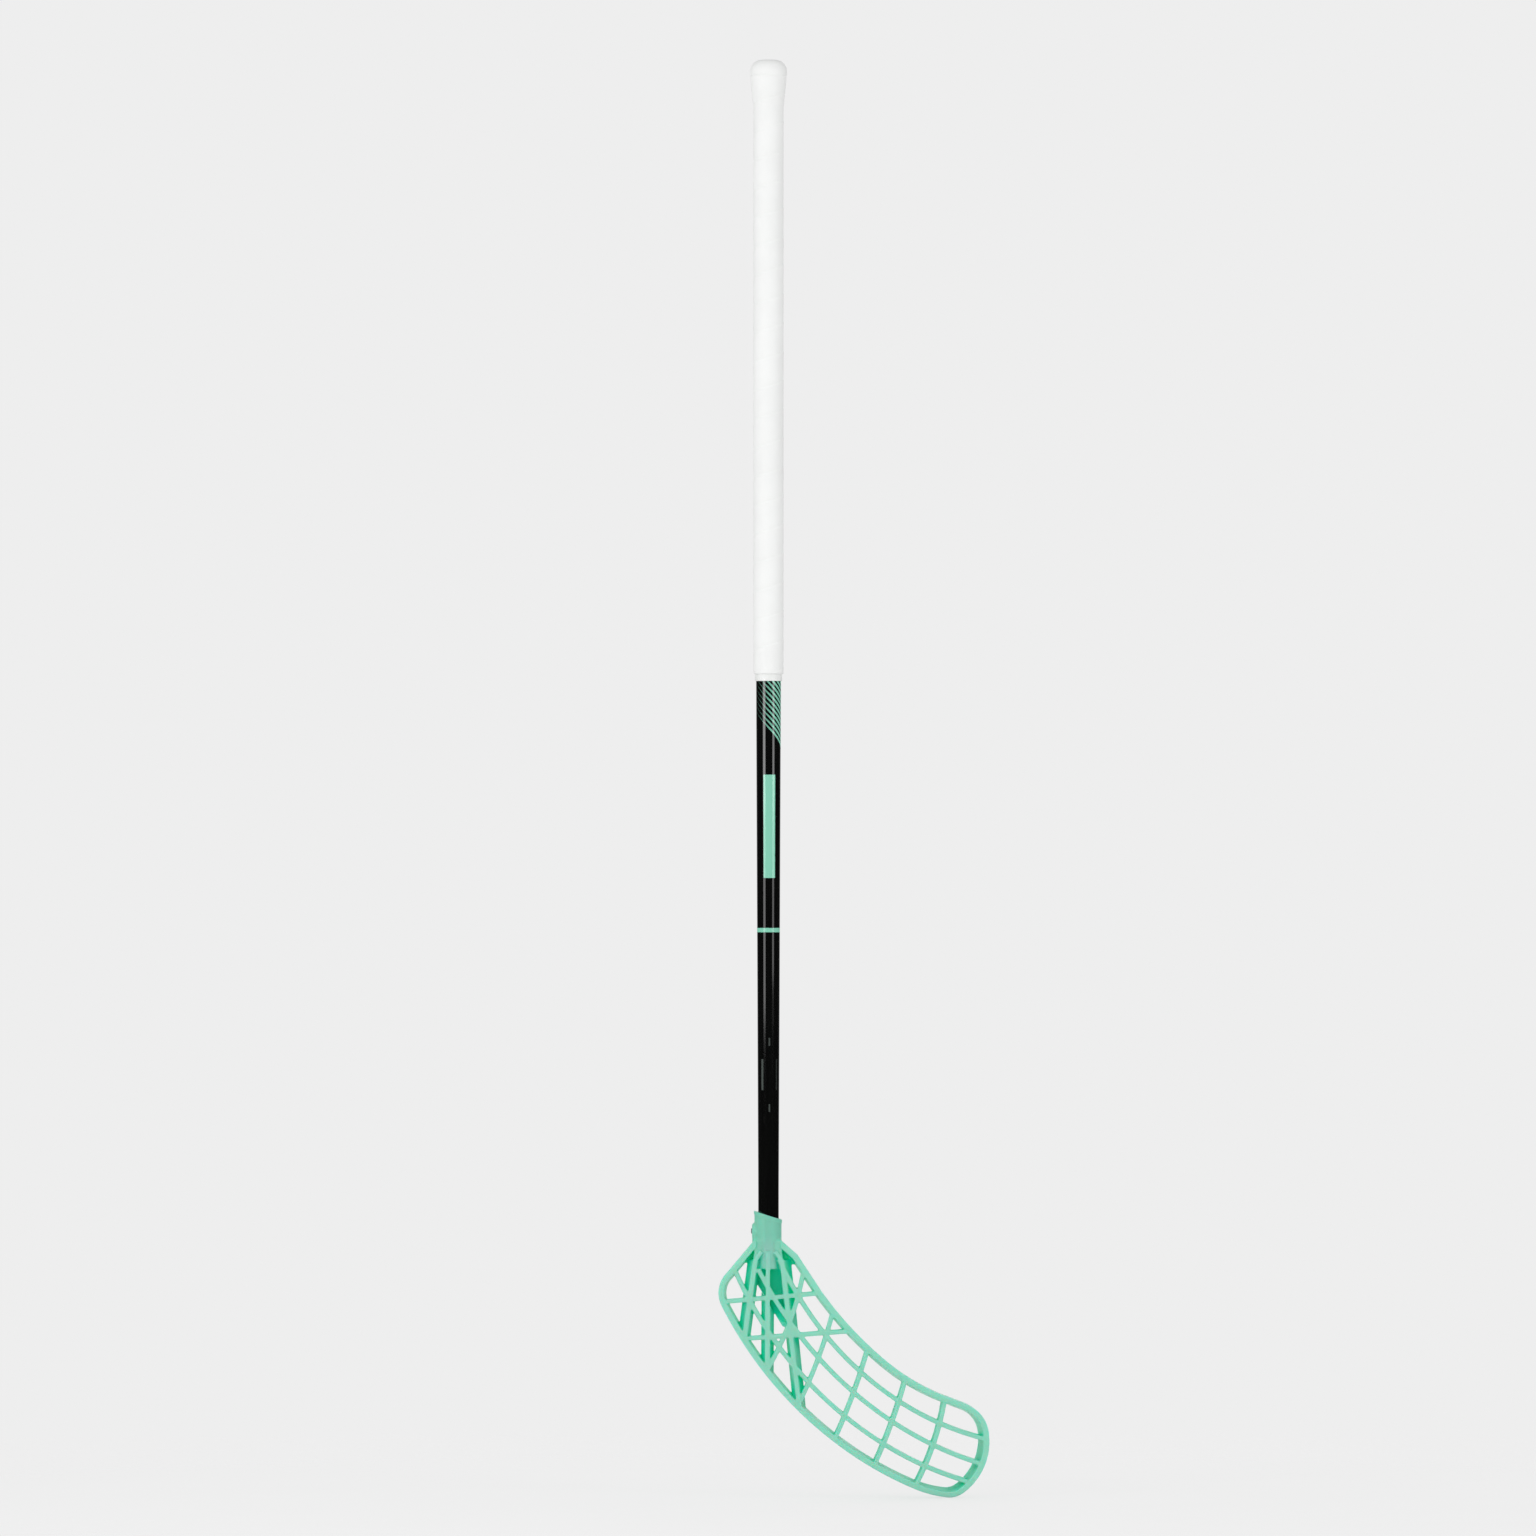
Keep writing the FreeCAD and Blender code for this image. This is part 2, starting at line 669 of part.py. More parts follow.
def deep_rib(shares, part_shares):
    """Return one deep rib, which is widest at a plane between its front and its back."""
    width, growth = size("fan_width"), 2 * size("fan_draft")
    part, depth = size("fan_part"), size("fan_neck_depth")
    ends = (-size("blade_front"), size("fan_recess") - size("blade_front") + depth)
    narrow = rib_band(shares, width, 0)
    ahead = walled(narrow, rib_band(part_shares, width + growth, 0), part, ends)
    root = rib_band(part_shares, width + growth * depth / (depth - part), 0)
    behind = walled(root, rib_band(part_shares, width, 0), depth, ends)
    return ahead.common(behind)


fan_ribs = [deep_rib(*shares) for shares in zip(FAN_RIB_SHARES, FAN_PART_SHARES)]
fan_tops = [
    rib(shares, size("fan_width"), 0, size("fan_neck_depth"), 0)
    for shares in FAN_TOP_SHARES
]
fan_fronts = [
    rib(shares, size("fan_width"), 0, size("rib_depth"), 0) for shares in FAN_RIB_SHARES
]


def scoop_pivot():
    """Return the point about which the back wall of the socket turns forward."""
    return Vector(0, size("socket_diameter") / 2 - size("scoop_radius"), -size("window_drop"))


def past_line(start_shares, end_shares):
    """Return the block through the blade's whole depth beside a line between two shares."""
    start, end = at_shares(start_shares), at_shares(end_shares)
    along = (end - start).normalize()
    away = DEPTHWISE.cross(along)
    span = size("blade_drop")
    corners = [
        start - along * span,
        end + along * span,
        end + along * span + away * span,
        start - along * span + away * span,
    ]
    ender = Part.Face(Part.makePolygon(corners + corners[:1]))
    ender.translate(DEPTHWISE * -span)
    return ender.extrude(DEPTHWISE * (2 * span))


def scoop_room():
    """Return the room ahead of the scoop, which the deep ribs leave free."""
    outer = size("socket_diameter") / 2
    inner = size("shaft_low_diameter") / 2 + size("fit_clearance")
    height = -size("window_drop")
    near = -2 * size("blade_front")
    spans = ((0, inner), (-inner, 0), (-inner, near), (outer, near), (outer, inner))
    corners = [Vector(x, y, height) for x, y in spans]
    through = Rotation(Vector(0, 0, 1), 45).multVec(Vector(0, inner, 0)) + Vector(0, 0, height)
    edges = [Part.Arc(corners[0], through, corners[1]).toShape()]
    for first, last in zip(corners[1:], corners[2:] + corners[:1]):
        edges.append(Part.LineSegment(first, last).toShape())
    room = Part.Face(Part.Wire(edges)).revolve(scoop_pivot(), Vector(-1, 0, 0), size("scoop_turn"))
    return room.cut(past_line(*SCOOP_END_SHARES))


deep_fan = fused(fan_ribs + fan_tops).common(fan_side()).cut(scoop_room())
front_fan = fused(fan_fronts).common(bent_sheet(size("fan_recess"), size("rib_depth")))
fan = shaped("blade_fan", fused([deep_fan, front_fan]).common(rib_limit))


def gusset(shares):
    """Return the web in one corner between the socket and the rim."""
    back = size("rim_depth") - size("blade_front") - size("fan_recess")
    corners = [at_shares(corner) + DEPTHWISE * back for corner in shares]
    web = Part.Face(Part.makePolygon(corners + corners[:1]))
    return web.extrude(DEPTHWISE * -size("gusset_depth"))


gussets = shaped("blade_gussets", Part.makeCompound([gusset(shares) for shares in GUSSET_SHARES]))

# Socket: a tube, thicker at the heel side, with a slanting mouth and a bead round it
HEEL_SHIFT = "Sizes.socket_diameter / 2 - Sizes.heel_reach"
BEAD_RADIUS = "Sizes.socket_diameter / 2 + Sizes.lip_rise"


def tube(label, radius, height, shift, foot):
    """Return an upright cylinder, moved along X by a shift, that starts at a foot."""
    item = doc.addObject("Part::Cylinder", label)
    return bind(item, Radius=radius, Height=height, Placement__Base__x=shift, Placement__Base__z=foot)


def united(label, items):
    """Return the union of a list of objects."""
    item = doc.addObject("Part::MultiFuse", label)
    item.Shapes = items
    return item


OVER_MOUTH = "Sizes.socket_rise + Sizes.socket_diameter"
socket_tube = tube(
    "socket_tube",
    "Sizes.socket_diameter / 2",
    f"Sizes.window_drop + {OVER_MOUTH}",
    "0 mm",
    "-Sizes.window_drop",
)
heel_tube = tube("heel_tube", "Sizes.socket_diameter / 2", OVER_MOUTH, HEEL_SHIFT, "0 mm")
bead_tube = tube("bead_tube", BEAD_RADIUS, OVER_MOUTH, "0 mm", "0 mm")
heel_bead_tube = tube("heel_bead_tube", BEAD_RADIUS, OVER_MOUTH, HEEL_SHIFT, "0 mm")
socket_body = united("socket_body", [socket_tube, heel_tube])
bead_body = united("bead_body", [bead_tube, heel_bead_tube])


def mouth_block(label, height, drop):
    """Return a block square on the socket's slanting mouth, from a drop below it upwards."""
    block = doc.addObject("Part::Box", label)
    width = "4 * Sizes.socket_diameter"
    bind(block, Length=width, Width=width, Height=height)
    slope = size("socket_slope")
    tilt = Rotation(Vector(0, 1, 0), slope)
    half = 2 * size("socket_diameter")
    corner = Vector(0, 0, size("socket_rise")) + tilt.multVec(Vector(-half, -half, -drop))
    return place(block, corner, Vector(0, 1, 0), slope)


def joined(label, kind, base, tool):
    """Return a cut or common of two objects."""
    item = doc.addObject(kind, label)
    item.Base = base
    item.Tool = tool
    return item


mouth_tool = mouth_block("mouth_tool", "4 * Sizes.socket_diameter", 0)
bead_tool = mouth_block("bead_tool", "Sizes.lip_height", size("lip_height"))
socket_wall = joined("socket_wall", "Part::Cut", socket_body, mouth_tool)
socket_bead = joined("socket_bead", "Part::Common", bead_body, bead_tool)

# Scoop: the back half of the socket's wall, turned forward into the lattice
def half_ring(outer, inner, height):
    """Return the back half of a flat ring round the axis at a height."""
    edges = [
        Part.Arc(Vector(outer, 0, height), Vector(0, outer, height), Vector(-outer, 0, height)),
        Part.LineSegment(Vector(-outer, 0, height), Vector(-inner, 0, height)),
        Part.Arc(Vector(-inner, 0, height), Vector(0, inner, height), Vector(inner, 0, height)),
        Part.LineSegment(Vector(inner, 0, height), Vector(outer, 0, height)),
    ]
    return Part.Face(Part.Wire([edge.toShape() for edge in edges]))


def scoop_floor():
    """Return the flat floor between the turned wall and the deep rib at the toe side."""
    outer = size("socket_diameter") / 2
    inner = size("shaft_low_diameter") / 2 + size("fit_clearance")
    middle = (outer + inner) / 2
    near, far = inner - (outer - inner) / 2, middle
    height = -size("window_drop")
    spans = ((-inner / 2, near), (2 * outer, near), (2 * outer, far), (-inner / 2, far))
    corners = [Vector(x, y, height) for x, y in spans]
    strip = Part.Face(Part.makePolygon(corners + corners[:1]))
    floor = strip.revolve(scoop_pivot(), Vector(-1, 0, 0), size("scoop_turn"))
    top, _, foot = FAN_PART_SHARES[-1]
    return floor.cut(past_line(foot, top))


def scoop_shape():
    """Return the turned back wall with its floor, ended along its slanting line."""
    outer = size("socket_diameter") / 2
    inner = size("shaft_low_diameter") / 2 + size("fit_clearance")
    ring = half_ring(outer, inner, -size("window_drop"))
    wall = ring.revolve(scoop_pivot(), Vector(-1, 0, 0), size("scoop_turn"))
    front = size("rib_recess") + size("rib_depth") / 2 - size("blade_front")
    span = size("blade_drop")
    behind_front = Part.makeBox(2 * span, span, span, Vector(-span, front, -span))
    wall = wall.common(Part.makeBox(span, 2 * span, span, Vector(inner / 2 - span, -span, -span)))
    return wall.fuse(scoop_floor()).cut(past_line(*SCOOP_END_SHARES)).common(behind_front)


scoop = shaped("socket_scoop", scoop_shape())

# Boss of the screw, on the heel side
boss_block = doc.addObject("Part::Cylinder", "boss_block")
place(boss_block, Vector(0, 0, 0), Vector(0, 1, 0), -90)
bind(
    boss_block,
    Radius="Sizes.boss_diameter / 2",
    Height="Sizes.boss_reach",
    Placement__Base__z="Sizes.screw_rise",
)
doc.recompute()
boss_rim = min(
    range(len(boss_block.Shape.Edges)),
    key=lambda k: boss_block.Shape.Edges[k].CenterOfMass.x,
)
boss = doc.addObject("Part::Chamfer", "screw_boss")
boss.Base = boss_block
boss.Edges = [(boss_rim + 1, size("boss_chamfer"), size("boss_chamfer"))]


boss_foot = doc.addObject("Part::Box", "boss_foot")
bind(
    boss_foot,
    Length="Sizes.boss_reach - Sizes.boss_rise",
    Width="Sizes.boss_foot_width",
    Height="Sizes.screw_rise + Sizes.rim_width / 2",
    Placement__Base__x="Sizes.boss_rise - Sizes.boss_reach",
    Placement__Base__y="-Sizes.boss_foot_width / 2",
    Placement__Base__z="-Sizes.rim_width / 2",
)

# Cuts: the bore for the shaft, the hole for the screw and the sunk panel
bore = doc.addObject("Part::Cylinder", "socket_bore")
bind(
    bore,
    Radius="Sizes.shaft_low_diameter / 2 + Sizes.fit_clearance",
    Height="Sizes.shaft_past_neck + Sizes.socket_rise + Sizes.socket_diameter",
    Placement__Base__z="-Sizes.shaft_past_neck",
)
screw_hole = doc.addObject("Part::Cylinder", "screw_hole")
place(screw_hole, Vector(0, 0, 0), Vector(0, 1, 0), -90)
bind(
    screw_hole,
    Radius="Sizes.screw_diameter / 2 + Sizes.fit_clearance",
    Height="Sizes.boss_reach + Sizes.overrun",
    Placement__Base__z="Sizes.screw_rise",
)
panel_top = doc.addObject("Part::Box", "panel_top")
bind(
    panel_top,
    Length="Sizes.panel_width",
    Width="Sizes.overrun + Sizes.panel_depth",
    Height="Sizes.panel_length - Sizes.panel_width / 2",
    Placement__Base__x="-Sizes.panel_width / 2",
    Placement__Base__y="-Sizes.socket_diameter / 2 - Sizes.overrun",
    Placement__Base__z="Sizes.panel_width / 2 - Sizes.panel_drop",
)
panel_foot = doc.addObject("Part::Cylinder", "panel_foot")
place(panel_foot, Vector(0, 0, 0), Vector(1, 0, 0), -90)
bind(
    panel_foot,
    Radius="Sizes.panel_width / 2",
    Height="Sizes.overrun + Sizes.panel_depth",
    Placement__Base__y="-Sizes.socket_diameter / 2 - Sizes.overrun",
    Placement__Base__z="Sizes.panel_width / 2 - Sizes.panel_drop",
)
panel = united("panel_tool", [panel_top, panel_foot])
panelled_wall = joined("panelled_wall", "Part::Cut", socket_wall, panel)

moulding = united(
    "blade_moulding",
    [rim, lattice, fan, gussets, panelled_wall, socket_bead, scoop, boss, boss_foot],
)
moulding.Refine = True
holes = united("blade_holes", [bore, screw_hole])
blade = joined("blade", "Part::Cut", moulding, holes)
NECK = f"{SHAFT_FOOT} + Sizes.shaft_past_neck"
bind(blade, Placement__Base__z=NECK)

# Screw, from its point to its head, laid along -X
blade_screw = turned(
    "blade_screw",
    (
        (None, None),
        ("Sizes.screw_diameter / 2", "Sizes.screw_point"),
        ("Sizes.screw_diameter / 2", "Sizes.screw_length"),
        ("Sizes.screw_head_diameter / 2", "Sizes.screw_length"),
        ("Sizes.screw_head_diameter / 2", "Sizes.screw_length + Sizes.screw_head_height"),
        (None, "Sizes.screw_length + Sizes.screw_head_height"),
    ),
)
break_edge(
    blade_screw,
    size("screw_length") + size("screw_head_height"),
    size("screw_head_diameter") / 2,
    "Sizes.screw_head_chamfer",
)
place(blade_screw, Vector(0, 0, 0), Vector(0, 1, 0), -90)
bind(
    blade_screw,
    Placement__Base__x="Sizes.screw_length - Sizes.boss_reach",
    Placement__Base__z=f"{NECK} + Sizes.screw_rise",
)
doc.recompute()

for item in doc.Objects:
    faults = {"Invalid", "Error"} & set(item.State)
    if faults:
        raise RuntimeError(f"{item.Label} did not compute: {sorted(faults)}")

os.makedirs("parts", exist_ok=True)
for node in (shaft, butt_cap, grip_wrap, finishing_tape, blade, blade_screw):
    if not node.Shape.isValid() or len(node.Shape.Solids) != 1:
        raise RuntimeError(f"{node.Label} is not one valid solid")
    node.Shape.exportStep(f"parts/{node.Label}.step")
    box = node.Shape.BoundBox
    print(
        f"{node.Label}: x {box.XMin:.1f} {box.XMax:.1f}, y {box.YMin:.1f} {box.YMax:.1f}, "
        f"z {box.ZMin:.1f} {box.ZMax:.1f}"
    )
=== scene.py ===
"""Looks of a floorball stick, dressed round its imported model.

Lengths are in metres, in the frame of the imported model: Z runs up the shaft, X points to the
toe of the blade, and the photograph is taken from the -Y side. A turn round the shaft starts at
the viewer's side and runs towards the toe's side.
"""
import logging
import math
from abc import ABC, abstractmethod
from dataclasses import dataclass, field
from enum import Enum
from typing import Any, Callable, ClassVar, Mapping, Sequence

import bmesh
import bpy
from mathutils import Color, Matrix, Vector


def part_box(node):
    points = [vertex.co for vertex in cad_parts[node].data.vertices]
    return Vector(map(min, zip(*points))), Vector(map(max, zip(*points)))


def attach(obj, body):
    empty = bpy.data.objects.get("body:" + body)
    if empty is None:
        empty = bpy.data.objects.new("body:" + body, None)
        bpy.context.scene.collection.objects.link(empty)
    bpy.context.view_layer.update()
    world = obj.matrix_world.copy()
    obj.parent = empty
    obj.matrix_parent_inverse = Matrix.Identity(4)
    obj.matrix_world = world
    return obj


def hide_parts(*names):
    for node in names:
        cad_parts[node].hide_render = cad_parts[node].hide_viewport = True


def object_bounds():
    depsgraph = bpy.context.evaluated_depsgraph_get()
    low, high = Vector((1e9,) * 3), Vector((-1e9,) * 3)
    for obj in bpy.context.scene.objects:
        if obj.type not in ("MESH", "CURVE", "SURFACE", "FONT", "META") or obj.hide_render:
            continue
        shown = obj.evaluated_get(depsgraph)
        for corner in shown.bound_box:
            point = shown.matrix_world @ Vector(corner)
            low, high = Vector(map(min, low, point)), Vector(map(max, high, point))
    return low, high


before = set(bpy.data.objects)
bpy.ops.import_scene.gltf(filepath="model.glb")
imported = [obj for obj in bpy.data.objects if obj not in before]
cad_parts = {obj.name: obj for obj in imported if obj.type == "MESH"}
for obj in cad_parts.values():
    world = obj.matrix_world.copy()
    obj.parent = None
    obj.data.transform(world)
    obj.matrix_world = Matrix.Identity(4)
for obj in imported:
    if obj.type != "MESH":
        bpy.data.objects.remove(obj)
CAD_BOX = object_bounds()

LOG = logging.getLogger("floorball_stick")
BODY = "root"
INK_STRENGTH = "ink_strength"
DISPLAY_WHITE = 255.0
MM = 0.001
MICROMETRE_DIGITS = 6
FULL_TURN = 2.0 * math.pi
QUARTER_TURN = FULL_TURN / 4.0
ROUND_SEGMENTS = 96
CREASE = 40.0

# Directions in an outline of radius and height, in degrees
DOWN = -90.0
OUTWARD = 0.0
UP = 90.0

Colour = tuple[float, float, float, float]
Point = tuple[float, float, float]
Span = tuple[float, float]
Outline = list[Span]
Table = Sequence[Span]
Sections = tuple[tuple[float, ...], ...]
Relief = Callable[[float, float, float], float]
Inputs = Mapping[str | int, Any]
Piece = bpy.types.Object
Shape = bmesh.types.BMesh
Corner = bmesh.types.BMVert
Loop = list[Corner]
NodeSocket = bpy.types.NodeSocket

UNIT_SPAN: Span = (0.0, 1.0)


class Slot(Enum):
    """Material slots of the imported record."""

    SHAFT = "shaft_composite"
    CAP = "cap_rubber"
    GRIP = "grip_strip"
    TAPE = "tape"
    BLADE = "blade_moulding"
    SCREW = "screw_steel"


class Ends(Enum):
    """What becomes of the first and the last loop of a skin."""

    OPEN = "open"
    CAPPED = "capped"
    JOINED = "joined"


class Way(Enum):
    """How a mapped value runs between its two ends."""

    STRAIGHT = "LINEAR"
    EASED = "SMOOTHSTEP"


def display_colour(red: int, green: int, blue: int) -> Colour:
    """Turn a display colour into the linear colour that a shader takes.

    Args:
        red: Red from 0 to 255.
        green: Green from 0 to 255.
        blue: Blue from 0 to 255.

    Returns:
        The linear colour, with an alpha of 1.
    """
    shown = Color([value / DISPLAY_WHITE for value in (red, green, blue)])
    linear = shown.from_srgb_to_scene_linear()
    return (linear.r, linear.g, linear.b, 1.0)


def grey(level: float) -> Colour:
    """Give the grey of a linear level."""
    return (level, level, level, 1.0)


def round_the_axis(radius: float, turn: float, height: float) -> Point:
    """Place a point by its turn from the viewer's side towards the toe.

    Args:
        radius: Distance from the axis of the shaft.
        turn: Turn in radians; 0 faces the viewer and a quarter turn faces the toe.
        height: Height along the shaft.

    Returns:
        The point's coordinates.
    """
    return (radius * math.sin(turn), -radius * math.cos(turn), height)


def turns_round(segments: int) -> list[float]:
    """List the turns of evenly spaced corners round the axis."""
    return [FULL_TURN * step / segments for step in range(segments)]


def arc(centre: Span, radius: float, start: float, end: float, steps: int) -> Outline:
    """List points of an arc in an outline of radius and height.

    Args:
        centre: Centre of the arc as (radius, height).
        radius: Radius of the arc.
        start: First angle in degrees, counted from the outward direction upwards.
        end: Last angle in degrees.
        steps: Number of pieces that the arc is cut into.

    Returns:
        The points, both ends included.
    """
    leans = [math.radians(start + (end - start) * k / steps) for k in range(steps + 1)]
    return [(centre[0] + radius * math.cos(lean), centre[1] + radius * math.sin(lean)) for lean in leans]


def eased(share: float) -> float:
    """Ease a share in and out between 0 and 1."""
    return share * share * (3.0 - 2.0 * share)


def blend(table: Table, place: float) -> float:
    """Read a value between the rows of a table.

    Args:
        table: Rows of (place, value), with the places rising.
        place: Where the value is wanted.

    Returns:
        The value, held level beyond the first and the last row.
    """
    if place <= table[0][0]:
        return table[0][1]
    for (place_a, value_a), (place_b, value_b) in zip(table, table[1:]):
        if place <= place_b:
            return value_a + (value_b - value_a) * (place - place_a) / (place_b - place_a)
    return table[-1][1]


def linked(name: str, data: bpy.types.ID) -> Piece:
    """Make an object of some data and link it to the scene.

    Args:
        name: Name of the object.
        data: Its mesh, lamp or camera.

    Returns:
        The object.
    """
    made = bpy.data.objects.new(name, data)
    bpy.context.scene.collection.objects.link(made)
    return made


def smooth_object(name: str, shape: Shape, crease: float = CREASE) -> Piece:
    """Turn a bmesh into an object that is shaded smooth, with its creases kept.

    Args:
        name: Name of the object and its mesh.
        shape: The shape, which is freed.
        crease: Angle in degrees above which an edge stays sharp.

    Returns:
        The object, linked to the scene.
    """
    bmesh.ops.recalc_face_normals(shape, faces=shape.faces)
    mesh = bpy.data.meshes.new(name)
    shape.to_mesh(mesh)
    shape.free()
    mesh.shade_smooth()
    mesh.set_sharp_from_angle(angle=math.radians(crease))
    return linked(name, mesh)


def add_face(shape: Shape, corners: Sequence[Corner]) -> None:
    """Add a face, unless too many of its corners are one.

    Args:
        shape: The bmesh that takes the face.
        corners: The corners in order; some may be the same.
    """
    distinct = dict.fromkeys(corners)
    if len(distinct) > 2:
        shape.faces.new(distinct)


def skin_loops(shape: Shape, loops: list[Loop], ends: Ends) -> None:
    """Join a row of loops with faces.

    Args:
        shape: The bmesh that takes the faces.
        loops: Loops with the same number of corners, in order along the form.
        ends: What becomes of the first and the last loop.
    """
    followers = loops[1:] + loops[:1] if ends is Ends.JOINED else loops[1:]
    for here, there in zip(loops, followers):
        for step, corner in enumerate(here):
            after = (step + 1) % len(here)
            add_face(shape, (corner, here[after], there[after], there[step]))
    if ends is Ends.CAPPED:
        shape.faces.new(loops[0])
        shape.faces.new(reversed(loops[-1]))


def turned_piece(
    name: str,
    outline: Outline,
    segments: int = ROUND_SEGMENTS,
    relief: Relief | None = None,
) -> Piece:
    """Turn a closed outline about the axis of the shaft.

    Args:
        name: Name of the object.
        outline: Points (radius, height) in order; a radius of 0 closes the shape on the axis.
        segments: Steps round the axis.
        relief: How far the point (radius, turn, height) stands out, or None for a true turning.

    Returns:
        The object, linked to the scene.
    """
    shape = bmesh.new()
    rings = []
    for radius, height in outline:
        if radius <= 0.0:
            rings.append([shape.verts.new((0.0, 0.0, height))] * segments)
            continue
        ring = []
        for turn in turns_round(segments):
            reach = radius + (relief(radius, turn, height) if relief else 0.0)
            ring.append(shape.verts.new(round_the_axis(reach, turn, height)))
        rings.append(ring)
    skin_loops(shape, rings, Ends.JOINED)
    return smooth_object(name, shape)


def modify(piece: Piece, name: str, kind: str, **settings: Any) -> None:
    """Add a modifier to a piece.

    Args:
        piece: The piece.
        name: Name of the modifier.
        kind: Blender's name of the modifier type.
        settings: Properties of the modifier.
    """
    modifier = piece.modifiers.new(name, kind)
    for key, value in settings.items():
        setattr(modifier, key, value)


def bake_modifiers(piece: Piece) -> None:
    """Put the result of a piece's modifiers into its mesh.

    Args:
        piece: The object whose modifiers are applied and removed.
    """
    depsgraph = bpy.context.evaluated_depsgraph_get()
    baked = bpy.data.meshes.new_from_object(piece.evaluated_get(depsgraph))
    spent = piece.data
    piece.modifiers.clear()
    piece.data = baked
    bpy.data.meshes.remove(spent)


def join_doubles(mesh: bpy.types.Mesh, reach: float) -> None:
    """Join the corners of a mesh that lie on each other.

    Args:
        mesh: The mesh, changed in place.
        reach: Distance under which two corners are one.
    """
    shape = bmesh.new()
    shape.from_mesh(mesh)
    bmesh.ops.remove_doubles(shape, verts=shape.verts, dist=reach)
    bmesh.ops.dissolve_degenerate(shape, edges=shape.edges, dist=reach)
    shape.to_mesh(mesh)
    shape.free()


def coat(piece: Piece, material: bpy.types.Material) -> None:
    """Give a piece one material all over."""
    piece.data.materials.clear()
    piece.data.materials.append(material)


def tie(piece: Piece, node: str = "") -> None:
    """Tie a piece to the frame.

    Args:
        piece: The piece of the stick.
        node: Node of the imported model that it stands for, or nothing.
    """
    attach(piece, BODY)
    if node:
        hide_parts(node)


@dataclass(frozen=True)
class Grain:
    """A noise in the frame's metres.

    Attributes:
        scale: Waves to the metre.
        detail: Octaves of finer noise.
        stretch: Scale along each axis, for a grain that runs one way.
    """

    scale: float
    detail: float
    stretch: Point | None = None


class Nodes:
    """The nodes of a tree, with short calls for adding and joining them."""

    def __init__(self, tree: bpy.types.NodeTree) -> None:
        """Hold the tree that takes the nodes."""
        self.tree = tree

    def add(self, kind: str, inputs: Inputs | None = None, **settings: Any) -> bpy.types.Node:
        """Add a node.

        Args:
            kind: Blender's name of the node type.
            inputs: Values or sockets for the node's inputs, by the input's name or place.
            settings: Properties of the node itself.

        Returns:
            The new node.
        """
        node = self.tree.nodes.new(kind)
        for key, value in settings.items():
            setattr(node, key, value)
        self.feed(node, inputs or {})
        return node

    def feed(self, node: bpy.types.Node, inputs: Inputs) -> None:
        """Set or link a node's inputs.

        Args:
            node: The node.
            inputs: Values or sockets, by the input's name or place.
        """
        for key, value in inputs.items():
            if isinstance(value, NodeSocket):
                self.tree.links.new(value, node.inputs[key])
            else:
                node.inputs[key].default_value = value

    def mapped(
        self, value: NodeSocket, source: Span, target: Span = UNIT_SPAN, way: Way = Way.STRAIGHT,
    ) -> NodeSocket:
        """Map one range of a value onto another.

        Args:
            value: The value.
            source: Range of the value, which is held at its ends.
            target: Range of the result.
            way: How the result runs between its two ends.

        Returns:
            The result.
        """
        ranges = {"From Min": source[0], "From Max": source[1], "To Min": target[0], "To Max": target[1]}
        node = self.add("ShaderNodeMapRange", {"Value": value, **ranges}, interpolation_type=way.value)
        return node.outputs["Result"]

    def largest(self, *values: NodeSocket) -> NodeSocket:
        """Give the largest of some values.

        Args:
            values: The values.

        Returns:
            The largest.
        """
        most = values[0]
        for value in values[1:]:
            most = self.add("ShaderNodeMath", {0: most, 1: value}, operation="MAXIMUM").outputs[0]
        return most

    def mixed(self, share: NodeSocket, first: NodeSocket, second: NodeSocket) -> NodeSocket:
        """Mix two surfaces by the share of the second."""
        return self.add("ShaderNodeMixShader", {0: share, 1: first, 2: second}).outputs[0]


class Shader(Nodes):
    """A material's node tree, with calls for grain, colour and relief."""

    def __init__(self, name: str) -> None:
        """Start a material with its principled surface.

        Args:
            name: Name of the material.
        """
        self.material = bpy.data.materials.new(name)
        self.material.use_nodes = True
        super().__init__(self.material.node_tree)
        self.surface = self.tree.nodes["Principled BSDF"]
        self.output = self.tree.nodes["Material Output"]
        self.place = self.add("ShaderNodeTexCoord").outputs["Object"]

    def noise(self, grain: Grain) -> NodeSocket:
        """Add a noise.

        Args:
            grain: Its scale, its detail and its stretch.

        Returns:
            The noise from 0 to 1.
        """
        vector = self.place
        if grain.stretch:
            stretched = self.add("ShaderNodeMapping", {"Vector": vector, "Scale": grain.stretch})
            vector = stretched.outputs["Vector"]
        inputs = {"Vector": vector, "Scale": grain.scale, "Detail": grain.detail}
        return self.add("ShaderNodeTexNoise", inputs).outputs["Fac"]

    def ramp(self, value: NodeSocket, places: Sequence[float], tones: Sequence[Colour]) -> NodeSocket:
        """Colour a value by a row of tones.

        Args:
            value: The value from 0 to 1.
            places: Values at which the tones are full, rising.
            tones: The tones in the same order.

        Returns:
            The colour.
        """
        node = self.add("ShaderNodeValToRGB", {"Fac": value})
        elements = node.color_ramp.elements
        while len(elements) < len(places):
            elements.new(1.0)
        for element, place, tone in zip(elements, places, tones):
            element.position = place
            element.color = tone
        return node.outputs["Color"]

    def bump(self, height: NodeSocket, depth: float, normal: NodeSocket | None = None) -> NodeSocket:
        """Raise a fine relief.

        Args:
            height: Height from 0 to 1.
            depth: Depth of the relief in metres.
            normal: Relief that lies under it, or None.

        Returns:
            The normal for the surface.
        """
        inputs = {"Height": height, "Distance": depth, "Strength": 1.0}
        if normal is not None:
            inputs["Normal"] = normal
        return self.add("ShaderNodeBump", inputs).outputs["Normal"]


